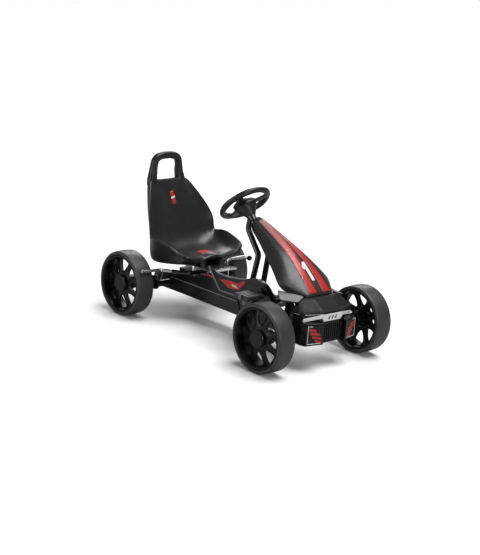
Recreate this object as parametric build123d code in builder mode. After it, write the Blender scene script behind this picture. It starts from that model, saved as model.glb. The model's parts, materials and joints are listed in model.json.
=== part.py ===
from build123d import *
import os
from math import asin, atan2, cos, degrees, hypot, pi, radians, sin, sqrt

# A child's pedal go kart. Millimetres. Origin on the ground midway between the axles,
# +Z up, the kart's nose towards -Y and its right-hand side towards -X.

# ---------------------------------------------------------------- driving dimensions
WHEEL_R = 125.0
TYRE_WIDTH = 75.0
WHEEL_X = 241.0            # wheel centre plane from the middle of the kart
FRONT_Y = -392.0
REAR_Y = 392.0
AXLE_Z = WHEEL_R
AXLE_R = 8.0
RUNNING = 0.06             # radial clearance of every turning fit

RIM_R = 109.0
BARREL_R = 103.0
HUB_R = 30.0
CAP_R = 32.5
SPOKES = 8

BEAM_HALF = 25.0
BEAM_BOTTOM = 70.0
BEAM_TOP = 100.0
BEAM_FRONT = -410.0
BEAM_REAR = 345.0
WALL = 2.5

KINGPIN_X = 170.0
KINGPIN_R = 5.0
ARM_LENGTH = 50.0          # steering arm of each stub axle
ARM_Z = 109.6              # underside of the steering arms
FRONT_TUBE_R = 16.0

STEER_TILT = 45.0          # angle of the steering column above the ground
STEER_CENTRE = (0.0, 16.0, 494.0)
STEER_RING_R = 91.0
STEER_GRIP_R = 12.0
SHAFT_R = 7.0
SHAFT_LENGTH = 500.0
PITMAN_LENGTH = 30.0
HEAD_AT = 70.0             # distance down the column to the middle of the head tube
LOWER_BUSH_AT = 416.0

CRANK_Z = 162.0
CRANK_LENGTH = 88.0
CRANK_ANGLE = 35.5         # right crank above the forward horizontal
CRANK_ARM_X = 92.0
CRANK_ARM_T = 12.0
CRANK_AXLE_R = 8.5
PEDAL_X = (107.0, 187.0)
PEDAL_LENGTH = 72.0
PEDAL_T = 20.0
SPINDLE_R = 5.0

PITCH = 12.7
RING_TEETH = 24
SPROCKET_TEETH = 11
CHAIN_LINKS = 100
ROLLER_R = 3.875
CHAIN_X = -66.0
CASE_HALF = 18.0
CASE_WALL = 2.5
CASE_FRONT_R = 58.0
CASE_REAR_R = 30.0
GUARD_Y = -165.0           # round guard in front of the crank
GUARD_Z = 165.0
GUARD_R = 94.0
GUARD_DEPTH = 30.0

CROSS_Y = 300.0            # rear cross tube
CROSS_Z = 132.5
CROSS_R = 12.5
PLATE_X = 172.0            # rear bearing plates
PLATE_T = 3.0
BRAKE_Y = 292.0            # brake pivot
BRAKE_Z = 155.0
BRAKE_PIN_R = 4.0
BRAKE_BAR_R = 6.0
LEVER_X = 184.0

RAIL_BOTTOM = 146.0        # seat rail
RAIL_TOP = 171.0
RAIL_HALF = 20.0
BRACKET_Z = 212.0

column = Vector(0, cos(radians(STEER_TILT)), sin(radians(STEER_TILT)))
down_wheel = Vector(0, column.Z, -column.Y)


def save(piece, label):
    """Label a finished piece and write it under its own name."""
    piece.label = label
    export_step(piece, f"parts/{label}.step")


def side_plane(x, y=0.0, z=0.0):
    """A plane facing +X whose local x is +Y and local y is +Z."""
    return Plane(origin=(x, y, z), x_dir=(0, 1, 0), z_dir=(1, 0, 0))


def front_plane(y):
    """A plane facing -Y whose local x is +X and local y is +Z."""
    return Plane(origin=(0, y, 0), x_dir=(1, 0, 0), z_dir=(0, -1, 0))


def wheel_plane(side, x, y):
    """A plane through a wheel's axis: local x points outboard, local y up."""
    return Plane(origin=(side * x, y, AXLE_Z), x_dir=(side, 0, 0), z_dir=(0, -side, 0))


def column_plane(distance):
    """A plane square to the steering column, this far below the steering wheel."""
    origin = Vector(*STEER_CENTRE) - column * distance
    return Plane(origin=origin, x_dir=(1, 0, 0), z_dir=column)


def bar(points, radius, bend=0.0):
    """A round bar along straight runs with rounded bends."""
    with BuildPart() as result:
        with BuildLine() as path:
            if bend:
                FilletPolyline(*points, radius=bend)
            else:
                Polyline(*points)
        with BuildSketch(Plane(origin=path.line @ 0, z_dir=path.line % 0)):
            Circle(radius)
        sweep(path=path.line)
    return result.part


def cross_cylinder(x_from, x_to, y, z, radius, bore=0.0):
    """A cylinder or ring lying across the kart."""
    with BuildPart() as result:
        with BuildSketch(side_plane(x_from)):
            with Locations((y, z)):
                Circle(radius)
                if bore:
                    Circle(bore, mode=Mode.SUBTRACT)
        extrude(amount=x_to - x_from)
    return result.part


def both_sides(piece):
    """The piece and its mirror image in the kart's middle plane, as separate solids."""
    return Compound(children=[piece, mirror(piece, about=Plane.YZ)])


# ---------------------------------------------------------------- wheels
def make_tyre(side, y):
    with BuildPart() as tyre:
        with BuildSketch(wheel_plane(side, WHEEL_X, y)):
            with BuildLine():
                half = TYRE_WIDTH / 2
                Polyline((-32, RIM_R), (32, RIM_R), (half, RIM_R + 3), (half, WHEEL_R - 9.5))
                ThreePointArc((half, WHEEL_R - 9.5), (half - 2.2, WHEEL_R - 3.7), (half - 8, WHEEL_R - 1.3))
                ThreePointArc((half - 8, WHEEL_R - 1.3), (0, WHEEL_R), (8 - half, WHEEL_R - 1.3))
                ThreePointArc((8 - half, WHEEL_R - 1.3), (2.2 - half, WHEEL_R - 3.7), (-half, WHEEL_R - 9.5))
                Polyline((-half, WHEEL_R - 9.5), (-half, RIM_R + 3), (-32, RIM_R))
            make_face()
        revolve(axis=Axis((0, y, AXLE_Z), (1, 0, 0)))
    return tyre.part


def make_rim(side, y):
    """Barrel, hub and eight spokes moulded in one, with a plain bore for the axle."""
    outboard = Plane(origin=(side * WHEEL_X, y, AXLE_Z), x_dir=(0, 1, 0), z_dir=(side, 0, 0))
    with BuildPart() as rim:
        with BuildSketch(wheel_plane(side, WHEEL_X, y)):
            Polygon((-32, BARREL_R), (36, BARREL_R + 1), (36, RIM_R - 0.5), (32, RIM_R), (-32, RIM_R),
                    align=None)
        revolve(axis=Axis((0, y, AXLE_Z), (1, 0, 0)))
        with BuildSketch(outboard.offset(-34)):
            Circle(HUB_R)
        extrude(amount=58)
        with BuildSketch(outboard.offset(6)):
            with PolarLocations((HUB_R + BARREL_R) / 2, SPOKES):
                Trapezoid(20, BARREL_R - HUB_R + 5, 88, rotation=90)
        extrude(amount=16)
        with BuildSketch(outboard.offset(-34)):
            Circle(AXLE_R + RUNNING)
        extrude(amount=58, mode=Mode.SUBTRACT)
        # ring-shaped hollow behind the spoke roots keeps the hub wall even
        with BuildSketch(outboard.offset(-34)):
            Circle(HUB_R - 5)
            Circle(AXLE_R + 6, mode=Mode.SUBTRACT)
        extrude(amount=34, mode=Mode.SUBTRACT)
    return rim.part


def make_cap(side, y):
    """A shallow cup that clips over the hub and hides the axle nut."""
    with BuildPart() as cap:
        with BuildSketch(wheel_plane(side, WHEEL_X, y)):
            with BuildLine():
                Line((24, 0), (36.5, 0))
                ThreePointArc((36.5, 0), (36.0, 16), (34.5, CAP_R - 3))
                Polyline((34.5, CAP_R - 3), (32.5, CAP_R), (24, CAP_R), (24, 0))
            make_face()
            with Locations((24, 0)):
                Rectangle(9, 26, align=(Align.MIN, Align.MIN), mode=Mode.SUBTRACT)
        revolve(axis=Axis((0, y, AXLE_Z), (1, 0, 0)))
    return cap.part


WHEELS = {
    "rear_right": (-1, REAR_Y),
    "rear_left": (1, REAR_Y),
    "front_right": (-1, FRONT_Y),
    "front_left": (1, FRONT_Y),
}


# ---------------------------------------------------------------- frame
def make_main_beam():
    with BuildPart() as beam:
        middle = (BEAM_BOTTOM + BEAM_TOP) / 2
        with BuildSketch(front_plane(BEAM_REAR)):
            with Locations((0, middle)):
                RectangleRounded(2 * BEAM_HALF, BEAM_TOP - BEAM_BOTTOM, 4)
                RectangleRounded(2 * (BEAM_HALF - WALL), BEAM_TOP - BEAM_BOTTOM - 2 * WALL, 1.5,
                                 mode=Mode.SUBTRACT)
        extrude(amount=BEAM_REAR - BEAM_FRONT)
    return beam.part


def make_beam_caps():
    """Plastic plugs in both open ends of the beam."""
    plugs = []
    middle = (BEAM_BOTTOM + BEAM_TOP) / 2
    for end, outward in ((BEAM_REAR, 1), (BEAM_FRONT, -1)):
        plane = Plane(origin=(0, end, middle), x_dir=(outward, 0, 0), z_dir=(0, -outward, 0))
        with BuildPart() as plug:
            with BuildSketch(plane):
                RectangleRounded(2 * (BEAM_HALF - WALL) - 0.2, BEAM_TOP - BEAM_BOTTOM - 2 * WALL - 0.2, 1.4)
            extrude(amount=16)
            with BuildSketch(plane):
                RectangleRounded(2 * BEAM_HALF, BEAM_TOP - BEAM_BOTTOM, 4)
            extrude(amount=-3)
        plugs.append(plug.part)
    return Compound(children=plugs)


def make_front_axle():
    """Cross tube with a fork at each end for the kingpins, saddled on the beam."""
    with BuildPart() as axle:
        with BuildSketch(side_plane(-149)):
            with Locations((FRONT_Y, AXLE_Z)):
                Circle(FRONT_TUBE_R)
                Circle(FRONT_TUBE_R - WALL, mode=Mode.SUBTRACT)
        extrude(amount=298)
        with BuildSketch(Plane.XY.offset(BEAM_TOP)):
            with Locations((0, FRONT_Y)):
                Rectangle(2 * BEAM_HALF - 6, 26)
        extrude(amount=12)
        for side in (-1, 1):
            for level in (100.0, 146.0):
                with BuildSketch(Plane.XY.offset(level)):
                    with Locations((side * KINGPIN_X, FRONT_Y)):
                        Circle(15)
                    with Locations((side * 159, FRONT_Y)):
                        Rectangle(22, 30)
                    with Locations((side * KINGPIN_X, FRONT_Y)):
                        Circle(KINGPIN_R + RUNNING, mode=Mode.SUBTRACT)
                extrude(amount=4)
            with BuildSketch(Plane.XY.offset(100)):
                with Locations((side * 150, FRONT_Y)):
                    Rectangle(4, 30)
            extrude(amount=50)
    return axle.part


def make_kingpin():
    with BuildPart() as pin:
        with BuildSketch(Plane.XY.offset(100)):
            with Locations((KINGPIN_X, FRONT_Y)):
                Circle(KINGPIN_R)
        extrude(amount=50)
        with BuildSketch(Plane.XY.offset(150)):
            with Locations((KINGPIN_X, FRONT_Y)):
                RegularPolygon(9, 6)
        extrude(amount=6)
        with BuildSketch(Plane.XY.offset(93)):
            with Locations((KINGPIN_X, FRONT_Y)):
                RegularPolygon(9, 6)
        extrude(amount=7)
    return pin.part


def make_knuckle(side):
    """Kingpin sleeve, stub axle with its nut, and the steering arm with its ball stud."""
    arm_end = FRONT_Y + ARM_LENGTH
    with BuildPart() as knuckle:
        with BuildSketch(Plane.XY.offset(105)):
            with Locations((side * KINGPIN_X, FRONT_Y)):
                Circle(13)
        extrude(amount=40)
        with BuildSketch(Plane(origin=(side * KINGPIN_X, FRONT_Y, AXLE_Z), z_dir=(side, 0, 0))):
            Circle(11)
        extrude(amount=36)
        with BuildSketch(Plane(origin=(side * KINGPIN_X, FRONT_Y, AXLE_Z), z_dir=(side, 0, 0))):
            Circle(AXLE_R)
        extrude(amount=WHEEL_X - KINGPIN_X + 32)
        with BuildSketch(Plane(origin=(side * (WHEEL_X + 24.4), FRONT_Y, AXLE_Z), z_dir=(side, 0, 0))):
            RegularPolygon(11.5, 6)
        extrude(amount=7)
        with BuildSketch(Plane.XY.offset(ARM_Z)):
            with Locations((side * KINGPIN_X, FRONT_Y + ARM_LENGTH / 2)):
                Rectangle(14, ARM_LENGTH)
            with Locations((side * KINGPIN_X, arm_end)):
                Circle(8)
        extrude(amount=5)
        with BuildSketch(Plane.XY.offset(ARM_Z - 9)):
            with Locations((side * KINGPIN_X, arm_end)):
                Circle(4)
        extrude(amount=9)
        with BuildSketch(Plane.XY.offset(105)):
            with Locations((side * KINGPIN_X, FRONT_Y)):
                Circle(KINGPIN_R + RUNNING)
        extrude(amount=40, mode=Mode.SUBTRACT)
    return knuckle.part


TONGUE = 24.0              # flat between a tie rod and its inner eye
TONGUE_DROP = 0.8
BALL = Vector(*STEER_CENTRE) - column * (SHAFT_LENGTH + 19.4) + down_wheel * PITMAN_LENGTH


def make_tie_rod(side, eye_bottom):
    """Rod from a stub axle's arm to the pitman ball; the inner eyes lie one on the other."""
    outer = Vector(side * KINGPIN_X, FRONT_Y + ARM_LENGTH, BALL.Z)
    inner = Vector(0, BALL.Y, BALL.Z)
    along = (inner - outer).normalized()
    with BuildPart() as rod:
        with BuildSketch(Plane(origin=outer + along * 7, z_dir=along)):
            Circle(3.4)
        extrude(amount=(inner - outer).length - 21)
        with BuildSketch(Plane.XY.offset(BALL.Z - 3.5)):
            with Locations((outer.X, outer.Y)):
                Circle(9)
        extrude(amount=7)
        with BuildSketch(Plane.XY.offset(eye_bottom)):
            with Locations((inner.X, inner.Y)):
                Circle(12.5)
            with Locations((inner.X + side * TONGUE / 2, inner.Y - TONGUE_DROP)):
                Rectangle(TONGUE, 7)
        extrude(amount=3.3)
        with BuildSketch(Plane.XY.offset(BALL.Z - 6)):
            with Locations((outer.X, outer.Y)):
                Circle(4 + RUNNING)
            with Locations((inner.X, inner.Y)):
                Circle(8.5)
        extrude(amount=12, mode=Mode.SUBTRACT)
    return rod.part


# ---------------------------------------------------------------- steering
def make_steering_support():
    """Two dog-leg tubes from the beam to the head tube."""
    head = Vector(*STEER_CENTRE) - column * HEAD_AT
    runs = ((14, head.Y - 1, head.Z + 1), (15, -28, 408), (25, -106, 328), (34, -68, BEAM_TOP + 4))
    with BuildPart() as support:
        for side in (-1, 1):
            add(bar([(side * x, y, z) for x, y, z in runs], 11, bend=20))
        with BuildSketch(column_plane(HEAD_AT + 20)):
            Circle(16)
        extrude(amount=40)
        with BuildSketch(Plane.XY.offset(BEAM_TOP)):
            with Locations((0, -68)):
                Rectangle(91, 44)
        extrude(amount=4)
        with BuildSketch(column_plane(HEAD_AT + 60)):
            Circle(10)
        extrude(amount=120, mode=Mode.SUBTRACT)
    return support.part


def make_steering_bushes():
    """Nylon bushes that carry the shaft in the head tube and in the lower bearing block."""
    bushes = []
    for distance, length, outer in ((HEAD_AT + 20, 40, 10), (LOWER_BUSH_AT + 10, 20, 10)):
        with BuildPart() as bush:
            with BuildSketch(column_plane(distance)):
                Circle(outer)
                Circle(SHAFT_R + RUNNING, mode=Mode.SUBTRACT)
            extrude(amount=length)
        bushes.append(bush.part)
    return Compound(children=bushes)


def make_steering_block():
    """Lower bearing block on the beam."""
    middle = Vector(*STEER_CENTRE) - column * LOWER_BUSH_AT
    with BuildPart() as block:
        with BuildSketch(side_plane(-14)):
            Polygon((middle.Y - 4, BEAM_TOP), (middle.Y + 40, BEAM_TOP),
                    (middle.Y + 16, middle.Z - 4), (middle.Y - 6, middle.Z + 8), align=None)
        extrude(amount=28)
        with BuildSketch(column_plane(LOWER_BUSH_AT + 10)):
            Circle(15)
        extrude(amount=20)
        with BuildSketch(column_plane(LOWER_BUSH_AT + 60)):
            Circle(10)
        extrude(amount=120, mode=Mode.SUBTRACT)
    return block.part


def make_steering_shaft():
    with BuildPart() as shaft:
        with BuildSketch(column_plane(SHAFT_LENGTH)):
            Circle(SHAFT_R)
        extrude(amount=SHAFT_LENGTH - 6)
    return shaft.part


def make_pitman():
    """Drop arm at the foot of the shaft, with the ball that moves the tie rods."""
    foot = column_plane(SHAFT_LENGTH)
    tip = foot.origin + down_wheel * PITMAN_LENGTH
    with BuildPart() as pitman:
        with BuildSketch(foot):
            Circle(13)
            with Locations((0, PITMAN_LENGTH / 2)):
                Rectangle(14, PITMAN_LENGTH)
            with Locations((0, PITMAN_LENGTH)):
                Circle(7)
            Circle(SHAFT_R, mode=Mode.SUBTRACT)
        extrude(amount=5)
        with BuildSketch(Plane(origin=tip, z_dir=-column)):
            Circle(2.5)
        extrude(amount=19.4)
        with Locations(BALL):
            Sphere(4.5)
    return pitman.part


def make_steering_wheel():
    """Ring, three spokes and hub moulded in one; the lowest spoke is the broad one."""
    with BuildPart() as wheel:
        with Locations(column_plane(0).location):
            Torus(STEER_RING_R, STEER_GRIP_R)
        with BuildSketch(column_plane(4)):
            Circle(36)
            for angle, width in ((-34, 24), (-146, 24), (90, 46)):
                with PolarLocations(STEER_RING_R / 2, 1, start_angle=angle):
                    Rectangle(STEER_RING_R, width)
        extrude(amount=8)
        with BuildSketch(column_plane(4)):
            Circle(36)
        with BuildSketch(column_plane(24)):
            Circle(33)
        with BuildSketch(column_plane(50)):
            Circle(17)
        loft()
        with BuildSketch(column_plane(60)):
            Circle(SHAFT_R)
        extrude(amount=54, mode=Mode.SUBTRACT)
    return wheel.part


def make_wheel_pad():
    """Padded cover over the hub on the driver's side."""
    with BuildPart() as pad:
        with BuildSketch(column_plane(-4)):
            with Locations((0, 6)):
                RectangleRounded(84, 66, 14)
        extrude(amount=14, taper=12)
    return pad.part


# ---------------------------------------------------------------- drive
def pitch_radius(teeth):
    return PITCH / (2 * sin(pi / teeth))


ring_pitch = pitch_radius(RING_TEETH)
sprocket_pitch = pitch_radius(SPROCKET_TEETH)
drop = CRANK_Z - AXLE_Z

# The centre distance that closes the chain on a whole number of links.
centres = 520.0
for _ in range(20):
    lean = asin((ring_pitch - sprocket_pitch) / centres)
    wrapped = RING_TEETH * (0.5 + lean / pi) + SPROCKET_TEETH * (0.5 - lean / pi)
    run = PITCH * (CHAIN_LINKS - wrapped) / 2
    centres = sqrt(run ** 2 + (ring_pitch - sprocket_pitch) ** 2)
CRANK_Y = REAR_Y - sqrt(centres ** 2 - drop ** 2)
line_angle = atan2(-drop, REAR_Y - CRANK_Y)    # from the crank to the rear axle

pedal_reach = Vector(0, -CRANK_LENGTH * cos(radians(CRANK_ANGLE)), CRANK_LENGTH * sin(radians(CRANK_ANGLE)))
crank_centre = Vector(0, CRANK_Y, CRANK_Z)


def chain_point(s):
    """Position in the chain plane after s pitches, starting where the top run leaves the ring."""
    top = line_angle + pi / 2 - lean           # direction of the top tangent points
    run_pitches = run / PITCH
    rear_arc = SPROCKET_TEETH * (0.5 - lean / pi)
    ring_arc = RING_TEETH * (0.5 + lean / pi)
    rear = (REAR_Y, AXLE_Z)
    ring = (CRANK_Y, CRANK_Z)

    def on(centre, radius, angle):
        return (centre[0] + radius * cos(angle), centre[1] + radius * sin(angle))

    if s < run_pitches:
        start = on(ring, ring_pitch, top)
        end = on(rear, sprocket_pitch, top)
        part = s / run_pitches
        return (start[0] + (end[0] - start[0]) * part, start[1] + (end[1] - start[1]) * part)
    s -= run_pitches
    if s < rear_arc:
        return on(rear, sprocket_pitch, top - s * 2 * pi / SPROCKET_TEETH)
    s -= rear_arc
    bottom = line_angle - pi / 2 + lean
    if s < run_pitches:
        start = on(rear, sprocket_pitch, bottom)
        end = on(ring, ring_pitch, bottom)
        part = s / run_pitches
        return (start[0] + (end[0] - start[0]) * part, start[1] + (end[1] - start[1]) * part)
    s -= run_pitches
    assert s <= ring_arc + 1e-6
    return on(ring, ring_pitch, bottom - s * 2 * pi / RING_TEETH)


def first_seat(centre, radius):
    """Angle of a chain roller that is seated on the sprocket at this centre."""
    for number in range(CHAIN_LINKS):
        y, z = chain_point(number + 0.5)
        if abs(hypot(y - centre[0], z - centre[1]) - radius) < 1e-6:
            angle = atan2(z - centre[1], y - centre[0])
    return degrees(angle)


def make_toothed_wheel(teeth, radius, y, z, hub_r, bore):
    """A roller-chain wheel, turned so that its seats meet the rollers."""
    seat = ROLLER_R + 0.3
    flare = seat + 3.8
    start = first_seat((y, z), radius)
    with BuildPart() as wheel:
        with BuildSketch(side_plane(CHAIN_X - 1.4, y, z)):
            Circle(radius + 2.6)
            with PolarLocations(radius, teeth, start_angle=start):
                Circle(seat, mode=Mode.SUBTRACT)
                Polygon((0, -seat), (6, -flare), (6, flare), (0, seat), align=None, mode=Mode.SUBTRACT)
            if radius > 40:
                with PolarLocations(radius * 0.58, 5):
                    Circle(9, mode=Mode.SUBTRACT)
        extrude(amount=2.8)
        with BuildSketch(side_plane(CHAIN_X - 6, y, z)):
            Circle(hub_r)
        extrude(amount=12)
        with BuildSketch(side_plane(CHAIN_X - 8, y, z)):
            Circle(bore)
        extrude(amount=16, mode=Mode.SUBTRACT)
    return wheel.part


def make_chain():
    """One hundred links, inner and outer by turns, as separate solids."""
    links = []
    for number in range(CHAIN_LINKS):
        y1, z1 = chain_point(number + 0.5)
        y2, z2 = chain_point((number + 1.5) % CHAIN_LINKS)
        inner = number % 2 == 0
        span = hypot(y2 - y1, z2 - z1)
        plane = Plane(origin=(CHAIN_X, y1, z1), x_dir=(0, y2 - y1, z2 - z1), z_dir=(1, 0, 0))
        near, thick, post = (1.8, 1.0, ROLLER_R) if inner else (2.9, 1.0, 1.8)
        with BuildPart() as link:
            for face in (near, -near - thick):
                with BuildSketch(plane.offset(face)):
                    with Locations((span / 2, 0)):
                        SlotCenterToCenter(span, 7.6)
                extrude(amount=thick)
            with BuildSketch(plane.offset(-near - thick / 2)):
                with Locations((0, 0), (span, 0)):
                    Circle(post)
            extrude(amount=2 * near + thick)
            if inner:
                with BuildSketch(plane.offset(-5)):
                    with Locations((0, 0), (span, 0)):
                        Circle(1.9)
                extrude(amount=10, mode=Mode.SUBTRACT)
        links.append(link.part)
    return Compound(children=links)


def make_crank_hanger():
    """Bottom-bracket shell on a saddle, with a boss for the chain case."""
    with BuildPart() as hanger:
        with BuildSketch(side_plane(-38)):
            with Locations((CRANK_Y, CRANK_Z)):
                Circle(20)
        extrude(amount=76)
        with BuildSketch(side_plane(-20)):
            Polygon((CRANK_Y - 24, BEAM_TOP), (CRANK_Y + 24, BEAM_TOP),
                    (CRANK_Y + 17, CRANK_Z - 6), (CRANK_Y - 17, CRANK_Z - 6), align=None)
        extrude(amount=40)
        with BuildSketch(side_plane(CHAIN_X + CASE_HALF)):
            with Locations((CRANK_Y - 6, 116)):
                Circle(6)
        extrude(amount=-(CHAIN_X + CASE_HALF))
        with BuildSketch(side_plane(-38)):
            with Locations((CRANK_Y, CRANK_Z)):
                Circle(15)
        extrude(amount=76, mode=Mode.SUBTRACT)
    return hanger.part


def make_crank_arm(side):
    """Forged arm from the crank axle to the pedal spindle, and a nut-shaped end boss."""
    reach = pedal_reach * (-1 if side > 0 else 1)
    plane = side_plane(side * CRANK_ARM_X, CRANK_Y, CRANK_Z)
    with BuildPart() as arm:
        with BuildSketch(plane):
            Circle(16)
            with Locations((reach.Y, reach.Z)):
                Circle(11)
            make_hull()
            Circle(CRANK_AXLE_R + 0.02, mode=Mode.SUBTRACT)
            with Locations((reach.Y, reach.Z)):
                Circle(SPINDLE_R + 0.02, mode=Mode.SUBTRACT)
        extrude(amount=side * CRANK_ARM_T)
    return arm.part


def make_pedal(side):
    """Moulded block with rounded ends, a flat tread with grooves, and a plain bore."""
    reach = pedal_reach * (-1 if side > 0 else 1)
    near, far = PEDAL_X
    plane = side_plane(side * near, CRANK_Y + reach.Y, CRANK_Z + reach.Z)
    with BuildPart() as pedal:
        with BuildSketch(plane):
            RectangleRounded(PEDAL_LENGTH, PEDAL_T, 8)
        extrude(amount=side * (far - near))
        for tread in (-1, 1):
            with BuildSketch(plane):
                with GridLocations(14, 1, 4, 1):
                    with Locations((0, tread * PEDAL_T / 2)):
                        Rectangle(5, 5)
            extrude(amount=side * (far - near), mode=Mode.SUBTRACT)
        with BuildSketch(plane):
            Circle(SPINDLE_R + RUNNING)
        extrude(amount=side * (far - near), mode=Mode.SUBTRACT)
    return pedal.part


def case_outline(shrink=0.0):
    """The chain case's outline: a big end round the ring and a small one round the sprocket."""
    with BuildSketch() as outline:
        with Locations((CRANK_Y, CRANK_Z)):
            Circle(CASE_FRONT_R - shrink)
        with Locations((REAR_Y, AXLE_Z)):
            Circle(CASE_REAR_R - shrink)
        make_hull()
    return outline.sketch


def make_case_half(outboard):
    """One half of the chain case, split on the chain plane."""
    away = -1 if outboard else 1
    with BuildPart() as half:
        with BuildSketch(side_plane(CHAIN_X)):
            add(case_outline())
        extrude(amount=away * CASE_HALF)
        if outboard:
            with BuildSketch(side_plane(CHAIN_X - CASE_HALF)):
                Polygon((CRANK_Y + 38, 110), (330, 108), (330, 146), (CRANK_Y + 50, 152), align=None)
            extrude(amount=-3)
        with BuildSketch(side_plane(CHAIN_X)):
            add(case_outline(CASE_WALL))
        extrude(amount=away * (CASE_HALF - CASE_WALL), mode=Mode.SUBTRACT)
        with BuildSketch(side_plane(CHAIN_X)):
            with Locations((CRANK_Y, CRANK_Z)):
                Circle(18)
            with Locations((REAR_Y, AXLE_Z)):
                Circle(11)
            with Locations((CROSS_Y, CROSS_Z)):
                Circle(CROSS_R + 0.1)
        extrude(amount=away * (CASE_HALF + 5), mode=Mode.SUBTRACT)
    return half.part


def make_side_panel():
    """Raised guard on the chain case, swept up towards the seat and round the crank in front."""
    cheek = CHAIN_X - CASE_HALF
    with BuildPart() as panel:
        with BuildSketch(side_plane(cheek)):
            with BuildLine():
                Polyline((96, 246), (50, 197), (26, 170), (-84, 160))
                Line((-84, 160), (-100, 108))
                Line((-100, 108), (-122, 82))
                ThreePointArc((-122, 82), (GUARD_Y - GUARD_R, GUARD_Z), (-120, 249))
                Spline((-120, 249), (-74, 238), (-19, 229), (38, 228), (96, 246))
            make_face()
        extrude(amount=-5)
        # flange round the front of the guard
        with BuildSketch(side_plane(cheek - 5)):
            with Locations((GUARD_Y, GUARD_Z)):
                Circle(GUARD_R - 2)
                Circle(GUARD_R - 5, mode=Mode.SUBTRACT)
            with Locations((-122, 165)):
                Rectangle(200, 240, align=(Align.MIN, Align.CENTER), mode=Mode.SUBTRACT)
        extrude(amount=GUARD_DEPTH)
        with BuildSketch(side_plane(cheek)):
            with Locations((CRANK_Y, CRANK_Z)):
                Circle(20)
        extrude(amount=-6, mode=Mode.SUBTRACT)
    return panel.part


def make_crank_axle():
    reach = CRANK_ARM_X + CRANK_ARM_T
    return cross_cylinder(-reach, reach, CRANK_Y, CRANK_Z, CRANK_AXLE_R)


def make_spindles():
    spindles = []
    for side in (-1, 1):
        reach = pedal_reach * (-1 if side > 0 else 1)
        near, far = sorted((side * CRANK_ARM_X, side * (PEDAL_X[1] + 1)))
        y, z = CRANK_Y + reach.Y, CRANK_Z + reach.Z
        cap = sorted((side * (PEDAL_X[1] + 1), side * (PEDAL_X[1] + 5)))
        with BuildPart() as spindle:
            add(cross_cylinder(near, far, y, z, SPINDLE_R))
            add(cross_cylinder(cap[0], cap[1], y, z, 8))
        spindles.append(spindle.part)
    return Compound(children=spindles)


def make_rear_axle():
    """Plain bar with two spacer collars and its end nuts."""
    half = WHEEL_X + 32
    with BuildPart() as axle:
        add(cross_cylinder(-half, half, REAR_Y, AXLE_Z, AXLE_R))
        for side in (-1, 1):
            collar = sorted((side * 179, side * 206))
            add(cross_cylinder(collar[0], collar[1], REAR_Y, AXLE_Z, 11))
            with BuildSketch(side_plane(side * (WHEEL_X + 24.4), REAR_Y, AXLE_Z)):
                RegularPolygon(11.5, 6)
            extrude(amount=side * 7)
    return axle.part


def make_rear_carrier():
    """Cross tube with a bearing plate welded to each end and a saddle on the beam."""
    with BuildPart() as carrier:
        add(cross_cylinder(-PLATE_X, PLATE_X, CROSS_Y, CROSS_Z, CROSS_R))
        with BuildSketch(Plane.XY.offset(BEAM_TOP)):
            with Locations((0, CROSS_Y)):
                Rectangle(2 * BEAM_HALF - 6, 20)
        extrude(amount=26)
        for side in (-1, 1):
            with BuildSketch(side_plane(side * (PLATE_X - PLATE_T / 2))):
                with Locations((REAR_Y, AXLE_Z)):
                    Circle(24)
                with Locations((CROSS_Y, CROSS_Z)):
                    Circle(20)
                with Locations((BRAKE_Y, BRAKE_Z)):
                    Circle(13)
                make_hull()
                with Locations((REAR_Y, AXLE_Z)):
                    Circle(12, mode=Mode.SUBTRACT)
                with Locations((BRAKE_Y, BRAKE_Z)):
                    Circle(BRAKE_PIN_R + RUNNING, mode=Mode.SUBTRACT)
            extrude(amount=side * PLATE_T)
        add(cross_cylinder(-PLATE_X - 3, PLATE_X + 3, CROSS_Y, CROSS_Z, CROSS_R - WALL),
            mode=Mode.SUBTRACT)
    return carrier.part


def make_rear_bearing():
    """Flanged bush pressed into a bearing plate."""
    inner = PLATE_X - PLATE_T / 2
    with BuildPart() as bearing:
        add(cross_cylinder(inner, inner + 6, REAR_Y, AXLE_Z, 12))
        add(cross_cylinder(inner - 6, inner, REAR_Y, AXLE_Z, 16))
        add(cross_cylinder(inner - 7, inner + 7, REAR_Y, AXLE_Z, AXLE_R + RUNNING), mode=Mode.SUBTRACT)
    return bearing.part


# ---------------------------------------------------------------- brake
def make_brake_bar():
    """Bent bar that presses on both rear tyres, with the two pivot arms welded on."""
    runs = ((262, 278, 197), (172, 278, 194), (95, 200, 190))
    points = [(-x, y, z) for x, y, z in runs] + [tuple(p) for p in reversed(runs)]
    with BuildPart() as brake:
        add(bar(points, BRAKE_BAR_R, bend=24))
        for side in (-1, 1):
            with BuildSketch(side_plane(side * 163)):
                with Locations((BRAKE_Y, BRAKE_Z)):
                    Circle(10)
                with Locations((271, 193.6)):
                    Circle(6)
                make_hull()
                with Locations((BRAKE_Y, BRAKE_Z)):
                    Circle(BRAKE_PIN_R + RUNNING, mode=Mode.SUBTRACT)
            extrude(amount=side * 4)
    return brake.part


def make_brake_pin():
    with BuildPart() as pin:
        add(cross_cylinder(162.5, 179, BRAKE_Y, BRAKE_Z, BRAKE_PIN_R))
        add(cross_cylinder(158, 162.5, BRAKE_Y, BRAKE_Z, 7))
        add(cross_cylinder(174, 179, BRAKE_Y, BRAKE_Z, 7))
    return pin.part


LEVER_FOOT = (LEVER_X, 271.9, 196.1)
LEVER_TIP = (LEVER_X, 165.0, 226.5)


def make_brake_lever():
    return bar([LEVER_FOOT, LEVER_TIP], 4)


def make_brake_knob():
    foot, tip = Vector(*LEVER_FOOT), Vector(*LEVER_TIP)
    along = (tip - foot).normalized()
    with BuildPart() as knob:
        with Locations(tip - along * 2):
            Sphere(10.5)
        with BuildSketch(Plane(origin=tip - along * 40, z_dir=along)):
            Circle(4)
        extrude(amount=40, mode=Mode.SUBTRACT)
    return knob.part


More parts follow.
